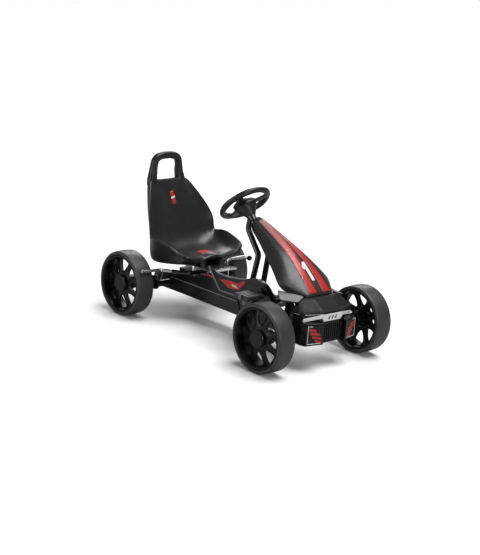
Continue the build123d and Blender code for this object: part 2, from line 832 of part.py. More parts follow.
# ---------------------------------------------------------------- seat
SEAT_RIM = ((186, 281), (214, 289), (256, 299), (298, 309), (332, 309), (360, 300))
SEAT_BACK_FRONT = ((368, 326), (373, 356), (396, 398), (449, 470), (474, 500))
SEAT_BACK_REAR = ((508, 500), (485, 463), (458, 430), (427, 392), (394, 350), (377, 290), (374, 236))


def make_seat_rail():
    """Square rail along the kart on two posts, with a boss for the chain case."""
    with BuildPart() as rail:
        with BuildSketch(front_plane(BEAM_REAR)):
            with Locations((0, (RAIL_BOTTOM + RAIL_TOP) / 2)):
                Rectangle(2 * RAIL_HALF, RAIL_TOP - RAIL_BOTTOM)
                Rectangle(2 * (RAIL_HALF - WALL), RAIL_TOP - RAIL_BOTTOM - 2 * WALL, mode=Mode.SUBTRACT)
        extrude(amount=BEAM_REAR - 60)
        for y in (84, 327):
            with BuildSketch(Plane.XY.offset(BEAM_TOP)):
                with Locations((0, y)):
                    Rectangle(30, 22)
            extrude(amount=RAIL_BOTTOM - BEAM_TOP)
        with BuildSketch(side_plane(CHAIN_X + CASE_HALF)):
            with Locations((327, 124)):
                Circle(6)
        extrude(amount=-(CHAIN_X + CASE_HALF) - 10)
    return rail.part


def make_seat_bracket():
    """Top plate and two feet that slide along the rail, leaving room for the brake bar."""
    with BuildPart() as bracket:
        with BuildSketch(Plane.XY.offset(BRACKET_Z)):
            with Locations((0, 205)):
                RectangleRounded(130, 210, 12)
        extrude(amount=4)
        for y in (125, 285):
            for side in (-1, 1):
                with BuildSketch(Plane.XY.offset(RAIL_BOTTOM + 2)):
                    with Locations((side * (RAIL_HALF + 2.6), y)):
                        Rectangle(4, 40)
                extrude(amount=BRACKET_Z - RAIL_BOTTOM - 2)
            with BuildSketch(Plane.XY.offset(RAIL_TOP + 0.5)):
                with Locations((0, y)):
                    Rectangle(2 * RAIL_HALF + 6, 40)
            extrude(amount=4)
    return bracket.part


def make_lock_knob():
    """Star knob whose screw clamps the bracket to the rail on the kart's left."""
    with BuildPart() as knob:
        add(cross_cylinder(RAIL_HALF + 4.7, 44, 125, 190, 12))
        with BuildSketch(side_plane(44)):
            with Locations((125, 190)):
                Circle(15)
                with PolarLocations(16, 6):
                    Circle(4, mode=Mode.SUBTRACT)
        extrude(amount=14)
    return knob.part


def make_seat():
    """Bucket seat: pan, back, two side walls, four bosses and the handle, in one moulding."""
    with BuildPart() as seat:
        # pan and back, as one bent band seen from the side
        with BuildSketch(side_plane(-150)):
            Polygon((160, 244), (160, 258), (182, 264), (230, 267), (300, 254), (342, 264), (378, 320),
                    (478, 500), (506, 500), (402, 318), (364, 248), (305, 240), (182, 246), align=None)
        extrude(amount=300)
        # trim the back to its outline seen from the front
        with BuildSketch(front_plane(520)):
            Polygon((-205, 220), (205, 220), (205, 330), (152, 385), (128, 428), (88, 505),
                    (-88, 505), (-128, 428), (-152, 385), (-205, 330), align=None)
        extrude(amount=420, mode=Mode.INTERSECT)
        for side in (-1, 1):
            with BuildSketch(side_plane(side * 150)):
                Polygon((178, 246), *SEAT_RIM, *SEAT_BACK_FRONT, *SEAT_BACK_REAR, (184, 236),
                        align=None)
            extrude(amount=side * 14)
        with BuildSketch(front_plane(520)):
            Polygon((-205, 220), (205, 220), (205, 330), (155, 385), (131, 428), (90, 505),
                    (-90, 505), (-131, 428), (-155, 385), (-205, 330), align=None)
        extrude(amount=420, mode=Mode.INTERSECT)
        with BuildSketch(Plane.XY.offset(BRACKET_Z + 4)):
            with Locations((-45, 180), (45, 180), (-45, 290), (45, 290)):
                Circle(11)
        extrude(amount=32)
        # handle hoop
        with BuildSketch(front_plane(506)):
            with Locations((0, 543)):
                RectangleRounded(164, 124, 50)
            with Locations((0, 482)):
                Rectangle(172, 40)
            with Locations((0, 539)):
                RectangleRounded(80, 78, 32, mode=Mode.SUBTRACT)
        extrude(amount=30)
    return seat.part


# ---------------------------------------------------------------- body work
COWL = (
    # y, ridge z, half width, edge z, how far the shoulder has dropped
    (-72, 459, 24, 447, 0.30),
    (-144, 436, 50, 398, 0.28),
    (-203, 411, 74, 358, 0.26),
    (-262, 384, 98, 322, 0.22),
    (-317, 346, 120, 288, 0.17),
    (-346, 322, 106, 280, 0.15),
    (-380, 291, 84, 267, 0.13),
    (-414, 260, 60, 254, 0.12),
)
COWL_T = 4.0


def cowl_profile(y, ridge, half, edge, shoulder):
    """A thin arched band across the cowl at this station."""
    fall = (ridge - edge) * shoulder
    with BuildSketch(front_plane(y)) as profile:
        with BuildLine():
            Spline((-half, edge), (-0.6 * half, ridge - fall), (0, ridge), (0.6 * half, ridge - fall),
                   (half, edge))
            inner = half - COWL_T
            low = min(COWL_T, (ridge - edge) + 3)
            Line((half, edge), (inner, edge))
            Spline((inner, edge), (0.58 * half, ridge - fall - low), (0, ridge - low),
                   (-0.58 * half, ridge - fall - low), (-inner, edge))
            Line((-inner, edge), (-half, edge))
        make_face()
    return profile.sketch


def make_cowl():
    with BuildPart() as cowl:
        sections = [cowl_profile(*station).faces()[0] for station in COWL]
        loft(sections=sections, ruled=True)
    return cowl.part


def make_front_bracket():
    """Hoop on the front axle that carries the cowl, deck and wings."""
    with BuildPart() as bracket:
        for side in (-1, 1):
            with BuildSketch(Plane.XY.offset(AXLE_Z)):
                with Locations((side * 60, FRONT_Y)):
                    Rectangle(4, 20)
            extrude(amount=239 - AXLE_Z)
        with BuildSketch(Plane.XY.offset(239)):
            with Locations((0, FRONT_Y - 6)):
                Rectangle(124, 32)
        extrude(amount=4)
        add(cross_cylinder(-140, 140, FRONT_Y, AXLE_Z, FRONT_TUBE_R), mode=Mode.SUBTRACT)
    return bracket.part


BUMPER_BAR_X = 41.0


def make_bumper_bar():
    """Flat bar from the front axle to the inside of the bumper."""
    with BuildPart() as flat:
        with BuildSketch(side_plane(BUMPER_BAR_X)):
            Polygon((FRONT_Y - 12, AXLE_Z - 8), (-475, AXLE_Z - 8), (-475, AXLE_Z + 8),
                    (FRONT_Y - 12, AXLE_Z + 8), align=None)
        extrude(amount=4)
        add(cross_cylinder(BUMPER_BAR_X - 8, BUMPER_BAR_X + 12, FRONT_Y, AXLE_Z, FRONT_TUBE_R),
            mode=Mode.SUBTRACT)
    return flat.part


DECK_LOW, DECK_HIGH = 204.0, 246.0
BUMPER_LOW = 98.0
POD_TOP = 176.0            # top of the lamp pods
NOSE_Y = -479.0            # front of the grille and of the bright strip's middle
PLASTIC = 3.0

# Half outlines seen from above, from the middle of the nose to the open rear.
NOSE_EDGE = ((42, NOSE_Y), (119, -453), (124, -440), (124, -412))
NOSE_INSIDE = ((41.5, NOSE_Y + PLASTIC), (116.8, -450.6), (121, -439.5), (121, -400))
DECK_TOP = ((44, -424), (88, -412), (96, -402), (96, -392))
DECK_TOP_INSIDE = ((43, -421), (86, -409.5), (93, -401), (93, -370))
POD_EDGE = ((56, NOSE_Y), (56, -497), (120, NOSE_Y), (127, -460), (124, -412))
POD_INSIDE = ((59, NOSE_Y + PLASTIC), (59, -493), (118, -476.5), (124, -459.5), (121, -400))


def whole(half):
    """The full outline from its left half."""
    return [(-x, y) for x, y in reversed(half)] + list(half)


def make_front_deck():
    """Sloping deck between the cowl's foot and the bumper, open underneath and behind."""
    with BuildPart() as deck:
        with BuildSketch(Plane.XY.offset(DECK_LOW)):
            Polygon(*whole(NOSE_EDGE), align=None)
        with BuildSketch(Plane.XY.offset(DECK_HIGH)):
            Polygon(*whole(DECK_TOP), align=None)
        loft()
        with BuildSketch(Plane.XY.offset(DECK_LOW - PLASTIC)):
            Polygon(*whole(NOSE_INSIDE), align=None)
        with BuildSketch(Plane.XY.offset(DECK_HIGH - PLASTIC)):
            Polygon(*whole(DECK_TOP_INSIDE), align=None)
        loft(mode=Mode.SUBTRACT)
    return deck.part


WING = ((120, -319, 260), (82, -418, 253), (122, -427, 236), (150, -365, 234))


def make_wing():
    """Flat plate that falls away outwards from the cowl's foot."""
    first, second, _, last = (Vector(*corner) for corner in WING)
    upward = (last - first).cross(second - first)
    if upward.Z < 0:
        upward = -upward
    plane = Plane(origin=first, x_dir=second - first, z_dir=upward)
    with BuildPart() as wing:
        with BuildSketch(plane):
            flat = [plane.to_local_coords(Vector(*corner)) for corner in WING]
            Polygon(*[(point.X, point.Y) for point in flat], align=None)
        extrude(amount=4)
    return wing.part


def make_bumper():
    """Hollow front shell: two lamp pods stand out of it, and a window takes the grille."""
    with BuildPart() as bumper:
        with BuildSketch(Plane.XY.offset(BUMPER_LOW)):
            Polygon(*whole(POD_EDGE), align=None)
            Polygon(*whole(POD_INSIDE), align=None, mode=Mode.SUBTRACT)
        extrude(amount=POD_TOP - BUMPER_LOW)
        with BuildSketch(Plane.XY.offset(POD_TOP - PLASTIC)):
            Polygon(*whole(POD_EDGE), align=None)
            Polygon(*whole(NOSE_INSIDE), align=None, mode=Mode.SUBTRACT)
        extrude(amount=PLASTIC)
        with BuildSketch(Plane.XY.offset(POD_TOP)):
            Polygon(*whole(NOSE_EDGE), align=None)
            Polygon(*whole(NOSE_INSIDE), align=None, mode=Mode.SUBTRACT)
        extrude(amount=DECK_LOW - POD_TOP)
        with BuildSketch(front_plane(NOSE_Y + 8)):
            with Locations(GRILLE_MIDDLE):
                Rectangle(*GRILLE_SIZE)
        extrude(amount=12, mode=Mode.SUBTRACT)
    return bumper.part


GRILLE_MIDDLE = (0, 137)
GRILLE_SIZE = (74, 66)


def make_grille():
    """Frame with upright slats in the bumper's window."""
    with BuildPart() as grille:
        with BuildSketch(front_plane(NOSE_Y + 4)):
            with Locations(GRILLE_MIDDLE):
                Rectangle(*GRILLE_SIZE)
                with GridLocations(11, 1, 6, 1):
                    Rectangle(7, GRILLE_SIZE[1] - 10, mode=Mode.SUBTRACT)
        extrude(amount=4)
    return grille.part


def make_headlight():
    """Flat lamp-shaped panel with a raised surround, on the front of a pod."""
    inner, outer = Vector(*POD_EDGE[1]), Vector(*POD_EDGE[2])
    along = outer - inner
    face = Plane(origin=inner, x_dir=along, z_dir=(along.Y, -along.X, 0))
    with BuildPart() as lamp:
        with BuildSketch(face):
            Polygon((3, 104), (64, 102), (64, 173), (34, 171), (3, 152), align=None)
        extrude(amount=4)
        with BuildSketch(face.offset(4)):
            Polygon((8, 109), (59, 107), (59, 167), (36, 165), (8, 148), align=None)
        extrude(amount=-2.5, mode=Mode.SUBTRACT)
    return lamp.part


STRIP_LOW, STRIP_HIGH, PLATE_LOW = 190.0, 204.0, 177.0
STRIP_DROOP = 12.0         # how far the strip's ends hang below its middle
STRIP_T = 3.0


def make_strip():
    """Bright strip bent round the nose: a deeper middle plate and two arms that droop."""
    bend, end = Vector(*NOSE_EDGE[0]), Vector(*NOSE_EDGE[1])
    along = (end - bend).normalized()
    length = (end - bend).length
    with BuildPart() as arm:
        with BuildSketch(Plane(origin=bend, x_dir=along, z_dir=(along.Y, -along.X, 0))):
            Polygon((-2, STRIP_LOW), (length, STRIP_LOW - STRIP_DROOP), (length, STRIP_HIGH - STRIP_DROOP),
                    (-2, STRIP_HIGH), align=None)
        extrude(amount=STRIP_T)
    with BuildPart() as strip:
        with BuildSketch(front_plane(NOSE_Y)):
            Polygon((-bend.X, STRIP_LOW), (6 - bend.X, PLATE_LOW), (bend.X - 6, PLATE_LOW),
                    (bend.X, STRIP_LOW), (bend.X, STRIP_HIGH), (-bend.X, STRIP_HIGH), align=None)
        extrude(amount=STRIP_T)
        add(arm.part)
        add(mirror(arm.part, about=Plane.YZ))
    return strip.part


# ---------------------------------------------------------------- build and write
os.makedirs("parts", exist_ok=True)

for place, (side, y) in WHEELS.items():
    save(make_tyre(side, y), f"tyre_{place}")
    save(make_rim(side, y), f"rim_{place}")
    save(make_cap(side, y), f"hub_cap_{place}")

save(make_main_beam(), "main_beam")
save(make_beam_caps(), "beam_end_caps")
save(make_front_axle(), "front_axle")
save(both_sides(make_kingpin()), "kingpins")
save(make_knuckle(-1), "knuckle_right")
save(make_knuckle(1), "knuckle_left")
save(make_tie_rod(-1, BALL.Z - 3.5), "tie_rod_right")
save(make_tie_rod(1, BALL.Z + 0.2), "tie_rod_left")

save(make_steering_support(), "steering_support")
save(make_steering_block(), "steering_block")
save(make_steering_bushes(), "steering_bushes")
save(make_steering_shaft(), "steering_shaft")
save(make_pitman(), "pitman_arm")
save(make_steering_wheel(), "steering_wheel")
save(make_wheel_pad(), "steering_wheel_pad")

save(make_crank_hanger(), "crank_hanger")
save(both_sides(cross_cylinder(22, 38, CRANK_Y, CRANK_Z, 15, CRANK_AXLE_R + RUNNING)), "crank_bearings")
save(make_crank_axle(), "crank_axle")
save(Compound(children=[make_crank_arm(-1), make_crank_arm(1)]), "crank_arms")
save(make_spindles(), "pedal_spindles")
save(make_pedal(-1), "pedal_right")
save(make_pedal(1), "pedal_left")
save(make_toothed_wheel(RING_TEETH, ring_pitch, CRANK_Y, CRANK_Z, 15, CRANK_AXLE_R), "chainring")
save(make_toothed_wheel(SPROCKET_TEETH, sprocket_pitch, REAR_Y, AXLE_Z, 13, AXLE_R), "rear_sprocket")
save(make_chain(), "drive_chain")
save(make_case_half(True), "chain_case_outer")
save(make_case_half(False), "chain_case_inner")
save(make_side_panel(), "side_panel")
save(make_rear_axle(), "rear_axle")
save(make_rear_carrier(), "rear_carrier")
save(both_sides(make_rear_bearing()), "rear_bearings")

save(make_brake_bar(), "brake_bar")
save(both_sides(make_brake_pin()), "brake_pins")
save(make_brake_lever(), "brake_lever")
save(make_brake_knob(), "brake_knob")

save(make_seat_rail(), "seat_rail")
save(make_seat_bracket(), "seat_bracket")
save(make_lock_knob(), "seat_lock_knob")
save(make_seat(), "seat_shell")

save(make_cowl(), "cowl")
save(make_front_bracket(), "front_bracket")
save(both_sides(make_bumper_bar()), "bumper_bars")
save(make_front_deck(), "front_deck")
save(both_sides(make_wing()), "side_wings")
save(make_bumper(), "bumper")
save(make_grille(), "grille")
save(both_sides(make_headlight()), "headlight_panels")
save(make_strip(), "front_strip")
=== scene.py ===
import json
from math import copysign, cos, pi, radians, sin

import bmesh
import bpy
from mathutils import Matrix, Vector
from mathutils.bvhtree import BVHTree
from mathutils.geometry import delaunay_2d_cdt


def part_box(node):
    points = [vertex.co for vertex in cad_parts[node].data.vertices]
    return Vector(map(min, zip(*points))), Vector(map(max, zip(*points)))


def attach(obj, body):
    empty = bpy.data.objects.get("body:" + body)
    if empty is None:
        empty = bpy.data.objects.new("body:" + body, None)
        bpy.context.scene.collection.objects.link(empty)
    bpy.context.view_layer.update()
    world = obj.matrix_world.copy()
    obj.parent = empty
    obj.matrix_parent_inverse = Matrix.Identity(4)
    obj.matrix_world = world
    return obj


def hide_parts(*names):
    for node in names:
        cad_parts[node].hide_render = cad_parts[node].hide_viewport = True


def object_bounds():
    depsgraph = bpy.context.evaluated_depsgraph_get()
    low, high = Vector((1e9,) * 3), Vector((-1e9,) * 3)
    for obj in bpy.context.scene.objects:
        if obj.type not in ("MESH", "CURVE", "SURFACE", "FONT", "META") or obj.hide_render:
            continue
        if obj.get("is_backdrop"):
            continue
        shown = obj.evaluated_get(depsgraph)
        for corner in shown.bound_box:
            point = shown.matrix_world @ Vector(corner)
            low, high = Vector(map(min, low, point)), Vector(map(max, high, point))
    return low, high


# A child's pedal go kart. Shapes are written in millimetres in the CAD model's frame:
# +Z up, the kart's nose towards -Y, its right-hand side towards -X. mesh_piece() turns
# them into metres.

MM = 0.001
SIDES = ((-1, "right"), (1, "left"))
DOWN, REARWARD = (0, 0, -1), (0, 1, 0)

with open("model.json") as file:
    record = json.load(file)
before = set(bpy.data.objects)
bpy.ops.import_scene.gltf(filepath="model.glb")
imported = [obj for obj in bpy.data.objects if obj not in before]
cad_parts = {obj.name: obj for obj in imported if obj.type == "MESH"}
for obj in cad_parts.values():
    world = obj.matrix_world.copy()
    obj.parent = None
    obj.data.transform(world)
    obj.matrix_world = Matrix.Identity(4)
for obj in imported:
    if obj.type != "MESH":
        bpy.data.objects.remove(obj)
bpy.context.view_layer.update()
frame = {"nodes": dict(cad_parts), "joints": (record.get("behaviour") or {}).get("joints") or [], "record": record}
nodes = frame["nodes"]
joints = {joint["name"]: joint for joint in frame["joints"]}


def corners_of(node):
    """The lowest and highest corner of a CAD node, in millimetres."""
    return [Vector(corner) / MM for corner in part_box(node)]


def pivot_of(joint):
    """The point a joint turns about, in millimetres."""
    return Vector(joints[joint]["pos_m"]) / MM


column = Vector(joints["steering_turn"]["axis"])    # up the steering column
wheel_down = Vector((0, column.z, -column.y))       # 6 o'clock on the steering wheel
CASE_BOSS = 3                                       # the case's bosses stand this far off its face
case_face = corners_of("chain_case_outer")[0].x + CASE_BOSS


# ---------------------------------------------------------------- materials
DRIFT_SCALE, GLOSS_SCALE, HATCH_SCALE = 14, 55, 150    # noise patches per metre
GRAIN_DEPTH = 0.0004                                   # metres of relief at full bump
WEAR_FROM, WEAR_FULL = 0.53, 0.60                      # pointiness where edges start and finish wearing
COAT_ROUGHNESS = 0.12


def noise(tree, scale, detail, place):
    """A noise value at a place."""
    texture = tree.nodes.new("ShaderNodeTexNoise")
    texture.inputs["Scale"].default_value = scale
    texture.inputs["Detail"].default_value = detail
    tree.links.new(place, texture.inputs["Vector"])
    return texture.outputs["Fac"]


def remap(tree, value, low, high, out_low, out_high):
    """A value's range from low to high, stretched to the range from out_low to out_high."""
    ramp = tree.nodes.new("ShaderNodeMapRange")
    ramp.inputs["From Min"].default_value = low
    ramp.inputs["From Max"].default_value = high
    ramp.inputs["To Min"].default_value = out_low
    ramp.inputs["To Max"].default_value = out_high
    tree.links.new(value, ramp.inputs["Value"])
    return ramp.outputs["Result"]


def blend(tree, factor, first, second):
    """A mix of two colours, each a plain colour or another node's."""
    mix = tree.nodes.new("ShaderNodeMix")
    mix.data_type = "RGBA"
    tree.links.new(factor, mix.inputs[0])
    for socket, value in ((mix.inputs[6], first), (mix.inputs[7], second)):
        if hasattr(value, "links"):
            tree.links.new(value, socket)
        else:
            socket.default_value = (*value, 1)
    return mix.outputs[2]


def faded_along(tree, place, tone, start, end, faded):
    """The tone turns into a faded colour along +Y, through a patchy hatch."""
    position = tree.nodes.new("ShaderNodeSeparateXYZ")
    tree.links.new(place, position.inputs["Vector"])
    along = remap(tree, position.outputs["Y"], start, end, 0, 1)
    patches = tree.nodes.new("ShaderNodeMath")
    patches.operation = "MULTIPLY"
    tree.links.new(along, patches.inputs[0])
    hatch = remap(tree, noise(tree, HATCH_SCALE, 3, place), 0.40, 0.62, 1, 0.45)
    tree.links.new(hatch, patches.inputs[1])
    return blend(tree, patches.outputs[0], tone, faded)


def finish(name, colour, roughness, grain=900.0, bump=0.08, blotch=0.25, metallic=0.0, coat=0.0,
           scuff=0.25, scuff_colour=None, brushed=None, shine=0.5, fade=None):
    """A moulded, painted or metal finish: fine grain, slow colour drift, uneven gloss, worn edges.

    brushed stretches the grain along an axis. fade is (start, end, colour) along +Y, in metres.
    """
    material = bpy.data.materials.new(name)
    material.use_nodes = True
    tree = material.node_tree
    surface = tree.nodes["Principled BSDF"]
    surface.inputs["Metallic"].default_value = metallic
    surface.inputs["Coat Weight"].default_value = coat
    surface.inputs["Specular IOR Level"].default_value = shine
    surface.inputs["Coat Roughness"].default_value = COAT_ROUGHNESS
    place = tree.nodes.new("ShaderNodeTexCoord").outputs["Object"]
    stretch = tree.nodes.new("ShaderNodeMapping")
    stretch.inputs["Scale"].default_value = brushed or (1, 1, 1)
    tree.links.new(place, stretch.inputs["Vector"])
    stretched = stretch.outputs["Vector"]

    dark = [c * (1 - blotch) for c in colour]
    light = [min(1.0, c * (1 + blotch)) for c in colour]
    drift = remap(tree, noise(tree, DRIFT_SCALE, 4, place), 0.35, 0.65, 0, 1)
    tone = blend(tree, drift, dark, light)
    if fade:
        tone = faded_along(tree, place, tone, *fade)
    edges = tree.nodes.new("ShaderNodeNewGeometry")
    worn = remap(tree, edges.outputs["Pointiness"], WEAR_FROM, WEAR_FULL, 0, scuff)
    worn_colour = scuff_colour or [min(1.0, c * 2.2 + 0.02) for c in colour]
    tree.links.new(blend(tree, worn, tone, worn_colour), surface.inputs["Base Color"])
    gloss = remap(tree, noise(tree, GLOSS_SCALE, 5, stretched), 0.3, 0.7, roughness * 0.9, roughness * 1.12)
    tree.links.new(gloss, surface.inputs["Roughness"])
    relief = tree.nodes.new("ShaderNodeBump")
    relief.inputs["Strength"].default_value = bump
    relief.inputs["Distance"].default_value = GRAIN_DEPTH
    tree.links.new(noise(tree, grain, 3, stretched), relief.inputs["Height"])
    tree.links.new(relief.outputs["Normal"], surface.inputs["Normal"])
    return material


MATERIALS = {
    "tyre": finish("eva_tyre", (0.034, 0.034, 0.035), 0.40, grain=1400, bump=0.35, blotch=0.2, scuff=0.1),
    "wheel_plastic": finish("wheel_plastic", (0.004, 0.004, 0.005), 0.34, grain=1600, bump=0.1,
                            shine=0.25),
    "black_metal": finish("powder_coat", (0.006, 0.006, 0.007), 0.26, grain=2200, bump=0.16, coat=0.3),
    "gloss_black": finish("gloss_black", (0.004, 0.004, 0.005), 0.24, grain=1500, bump=0.04, shine=0.4),
    "seat_plastic": finish("seat_plastic", (0.009, 0.010, 0.010), 0.34, grain=1800, bump=0.22),
    "grip": finish("grip", (0.009, 0.009, 0.010), 0.38, grain=1300, bump=0.3),
    "bright_steel": finish("bright_steel", (0.66, 0.66, 0.67), 0.24, metallic=1, brushed=(1, 12, 12),
                           grain=160, bump=0.12, blotch=0.12, scuff=0.3),
    "dark_steel": finish("dark_steel", (0.09, 0.09, 0.095), 0.36, metallic=1, brushed=(8, 1, 1),
                         grain=260, bump=0.2, blotch=0.35, scuff=0.5),
    "nylon": finish("nylon", (0.045, 0.045, 0.045), 0.45, grain=900, bump=0.1),
    "grey_plastic": finish("grey_plastic", (0.050, 0.050, 0.053), 0.30, grain=1500, bump=0.2),
    "silver": finish("silver_film", (0.80, 0.81, 0.82), 0.24, metallic=0.3, grain=700, bump=0.02,
                     blotch=0.03, scuff=0.1),
    "red_graphic": finish("red_film", (0.46, 0.014, 0.010), 0.30, grain=700, bump=0.05, blotch=0.12,
                          coat=0.15, scuff=0.1, scuff_colour=(0.7, 0.15, 0.1)),
    "pedal_plastic": finish("pedal_plastic", (0.014, 0.014, 0.015), 0.38, grain=1200, bump=0.3),
}
WHITE_FILM = finish("white_film", (0.80, 0.80, 0.79), 0.30, grain=700, bump=0.03, blotch=0.04, scuff=0.05)
SAND_FILM = finish("sand_film", (0.62, 0.50, 0.36), 0.34, grain=700, bump=0.03, blotch=0.1, scuff=0.05)
STRIPE_RED = finish("stripe_red", (0.46, 0.014, 0.010), 0.30, grain=700, bump=0.05, blotch=0.12,
                    coat=0.15, scuff=0.1, fade=(-0.29, -0.10, (0.30, 0.24, 0.235)))
HUB_CHROME = finish("hub_chrome", (0.22, 0.22, 0.23), 0.3, grain=700, bump=0.05, blotch=0.1, metallic=1)
DECK_BLACK = finish("deck_black", (0.006, 0.006, 0.007), 0.5, grain=1500, bump=0.12, shine=0.25)
COWL_BLACK = finish("cowl_black", (0.011, 0.011, 0.012), 0.36, grain=1500, bump=0.02, coat=0.1)
WING_GREY = finish("wing_grey", (0.25, 0.25, 0.255), 0.34, grain=1500, bump=0.12, blotch=0.15, coat=0.2)
# light grey: the J rib's own colour, and a painted highlight on the side panel's ridge and on the chain case's top
# line
GREY_RIB_AND_HIGHLIGHT = finish("grey_rib_and_painted_highlight", (0.16, 0.16, 0.17), 0.26, grain=1100, bump=0.06, coat=0.3, scuff=0.2)

for part in frame["record"]["subparts"]:
    node_mesh = nodes[part["node"]].data
    node_mesh.materials.clear()
    node_mesh.materials.append(MATERIALS[part["material_slot"]])


# ---------------------------------------------------------------- mesh helpers
def mesh_piece(name, points, faces, slot, body, sharp=38.0, material=None):
    """A piece from points in millimetres, smooth but for edges sharper than the given angle."""
    mesh = bpy.data.meshes.new(name)
    mesh.from_pydata([tuple(c * MM for c in p) for p in points], [], faces)
    tidy = bmesh.new()
    tidy.from_mesh(mesh)
    bmesh.ops.remove_doubles(tidy, verts=tidy.verts, dist=1e-6)
    bmesh.ops.recalc_face_normals(tidy, faces=tidy.faces)
    tidy.to_mesh(mesh)
    tidy.free()
    mesh.materials.append(material or MATERIALS[slot])
    mesh.polygons.foreach_set("use_smooth", [True] * len(mesh.polygons))
    mesh.set_sharp_from_angle(angle=radians(sharp))
    piece = bpy.data.objects.new(name, mesh)
    bpy.context.scene.collection.objects.link(piece)
    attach(piece, body)
    return piece


def bevel(piece, width, segments=3, angle=32.0):
    """Rounded edges, with shading that keeps the flat faces flat."""
    rounding = piece.modifiers.new("rounding", "BEVEL")
    rounding.width = width * MM
    rounding.segments = segments
    rounding.limit_method = "ANGLE"
    rounding.angle_limit = radians(angle)
    rounding.harden_normals = True
    return piece


def thicken(piece, thickness, offset):
    """Gives an open skin a wall; offset -1 puts it behind the faces, 0 on both sides, 1 in front."""
    wall = piece.modifiers.new("wall", "SOLIDIFY")
    wall.thickness = thickness * MM
    wall.offset = offset


def smooth(piece, levels=2):
    """Rounded by subdivision."""
    rounding = piece.modifiers.new("smoothing", "SUBSURF")
    rounding.levels = levels
    rounding.render_levels = levels
    return piece


def turns(steps):
    """Evenly spaced angles round a full turn."""
    return [2 * pi * step / steps for step in range(steps)]


def oval(middle, across, up, steps):
    """A closed loop of points round a middle."""
    return [middle + across * cos(t) + up * sin(t) for t in turns(steps)]


def squared(value, power):
    """A sine or cosine reshaped so that an oval grows squarer as the power falls below 1."""
    return copysign(abs(value) ** power, value)


def row_faces(a, b, count, ring=True):
    """Faces between two rows of points that start at a and b; ring joins the rows' ends."""
    steps = count if ring else count - 1
    return [(a + i, a + (i + 1) % count, b + (i + 1) % count, b + i) for i in range(steps)]


def loft(name, loops, slot, body, caps=True, ring=True, **look):
    """A skin through equal loops of points; ring joins each loop's ends, caps closes the two ends."""
    count = len(loops[0])
    points = [p for loop in loops for p in loop]
    faces = []
    for row in range(len(loops) - 1):
        faces += row_faces(row * count, (row + 1) * count, count, ring)
    if ring and caps:
        faces.append(tuple(range(count)))
        faces.append(tuple(range(len(points) - count, len(points))))
    return mesh_piece(name, points, faces, slot, body, **look)


def on_axle(centre, side, out, radius, angle):
    """A point this far outboard of a wheel's centre, at a radius and an angle round its axis."""
    return (centre[0] + side * out, centre[1] + radius * cos(angle), centre[2] + radius * sin(angle))


def lathe(name, profile, centre, side, slot, body, steps=96, **look):
    """A closed profile of (distance outboard, radius) turned about a wheel's axis."""
    points = [on_axle(centre, side, out, radius, t) for t in turns(steps) for out, radius in profile]
    count = len(profile)
    faces = []
    for step in range(steps):
        faces += row_faces(step * count, (step + 1) % steps * count, count)
    return mesh_piece(name, points, faces, slot, body, **look)


def plate(name, outline, place, thickness, slot, body, edge=1.0, **look):
    """A flat plate: outline in its own plane, place(u, v, w) puts it in the kart."""
    count = len(outline)
    points = [place(u, v, w) for w in (0, thickness) for u, v in outline]
    faces = [tuple(range(count)), tuple(range(count, 2 * count)), *row_faces(0, count, count)]
    return bevel(mesh_piece(name, points, faces, slot, body, **look), edge)


def along_path(path, index):
    """The direction of a path at one of its points."""
    return (path[min(index + 1, len(path) - 1)] - path[max(index - 1, 0)]).normalized()


def tube(name, path, radius, slot, body, steps=16, **look):
    """A round bar along a path."""
    path = [Vector(p) for p in path]
    loops = []
    for i, point in enumerate(path):
        along = along_path(path, i)
        across = along.cross(Vector((0, 0, 1)) if abs(along.z) < 0.9 else Vector((1, 0, 0))).normalized()
        up = across.cross(along)
        loops.append(oval(point, across * radius, up * radius, steps))
    return loft(name, loops, slot, body, **look)


def curve(points, steps):
    """Points along a smooth curve through the given ones."""
    points = [Vector(p) for p in points]
    ends = [points[0] * 2 - points[1], *points, points[-1] * 2 - points[-2]]
    result = []
    for a, b, c, d in zip(ends, ends[1:], ends[2:], ends[3:]):
        for step in range(steps):
            t = step / steps
            result.append(0.5 * (2 * b + (c - a) * t + (2 * a - 5 * b + 4 * c - d) * t ** 2
                                 + (3 * b - a - 3 * c + d) * t ** 3))
    return result + [points[-1]]


def surface_of(piece):
    """The finished surface of a piece, for placing things on it."""
    graph = bpy.context.evaluated_depsgraph_get()
    return BVHTree.FromObject(piece, graph)


FILM = 0.3      # thickness of a decal


def decal(name, outline, target, place, toward, slot, body, lift=0.5, spacing=6.0, material=None):
    """A thin film on another piece: the outline is dropped on the surface along toward."""
    corners = [Vector(p) for p in outline]
    border = []
    for a, b in zip(corners, corners[1:] + corners[:1]):
        pieces = max(1, int((b - a).length / spacing))
        border += [a + (b - a) * i / pieces for i in range(pieces)]
    edges = [(i, (i + 1) % len(border)) for i in range(len(border))]
    low_u, high_u = min(p.x for p in corners), max(p.x for p in corners)
    low_v, high_v = min(p.y for p in corners), max(p.y for p in corners)
    inside = []
    for i in range(1, int((high_u - low_u) / spacing) + 1):
        for j in range(1, int((high_v - low_v) / spacing) + 1):
            inside.append(Vector((low_u + i * spacing, low_v + j * spacing)))
    face_loop = [list(range(len(border)))]
    flat, _, faces, *_ = delaunay_2d_cdt(border + inside, edges, face_loop, 1, 1e-4)
    direction = Vector(toward).normalized()
    points = []
    for u, v in flat:
        start = Vector(place(u, v)) * MM
        hit, normal, _, _ = target.ray_cast(start, direction)
        if hit is None:
            hit, normal, _, _ = target.find_nearest(start)
        if normal.dot(direction) > 0:
            normal = -normal
        points.append(hit / MM + normal * lift)
    film = mesh_piece(name, points, [tuple(f) for f in faces], slot, body, material=material)
    thicken(film, FILM, 0)
    return film


def on_side(x):
    """Places a plate facing the kart's right at this x: u along +Y, v up, w outboard."""
    return lambda u, v, w=0: (x - w, u, v)


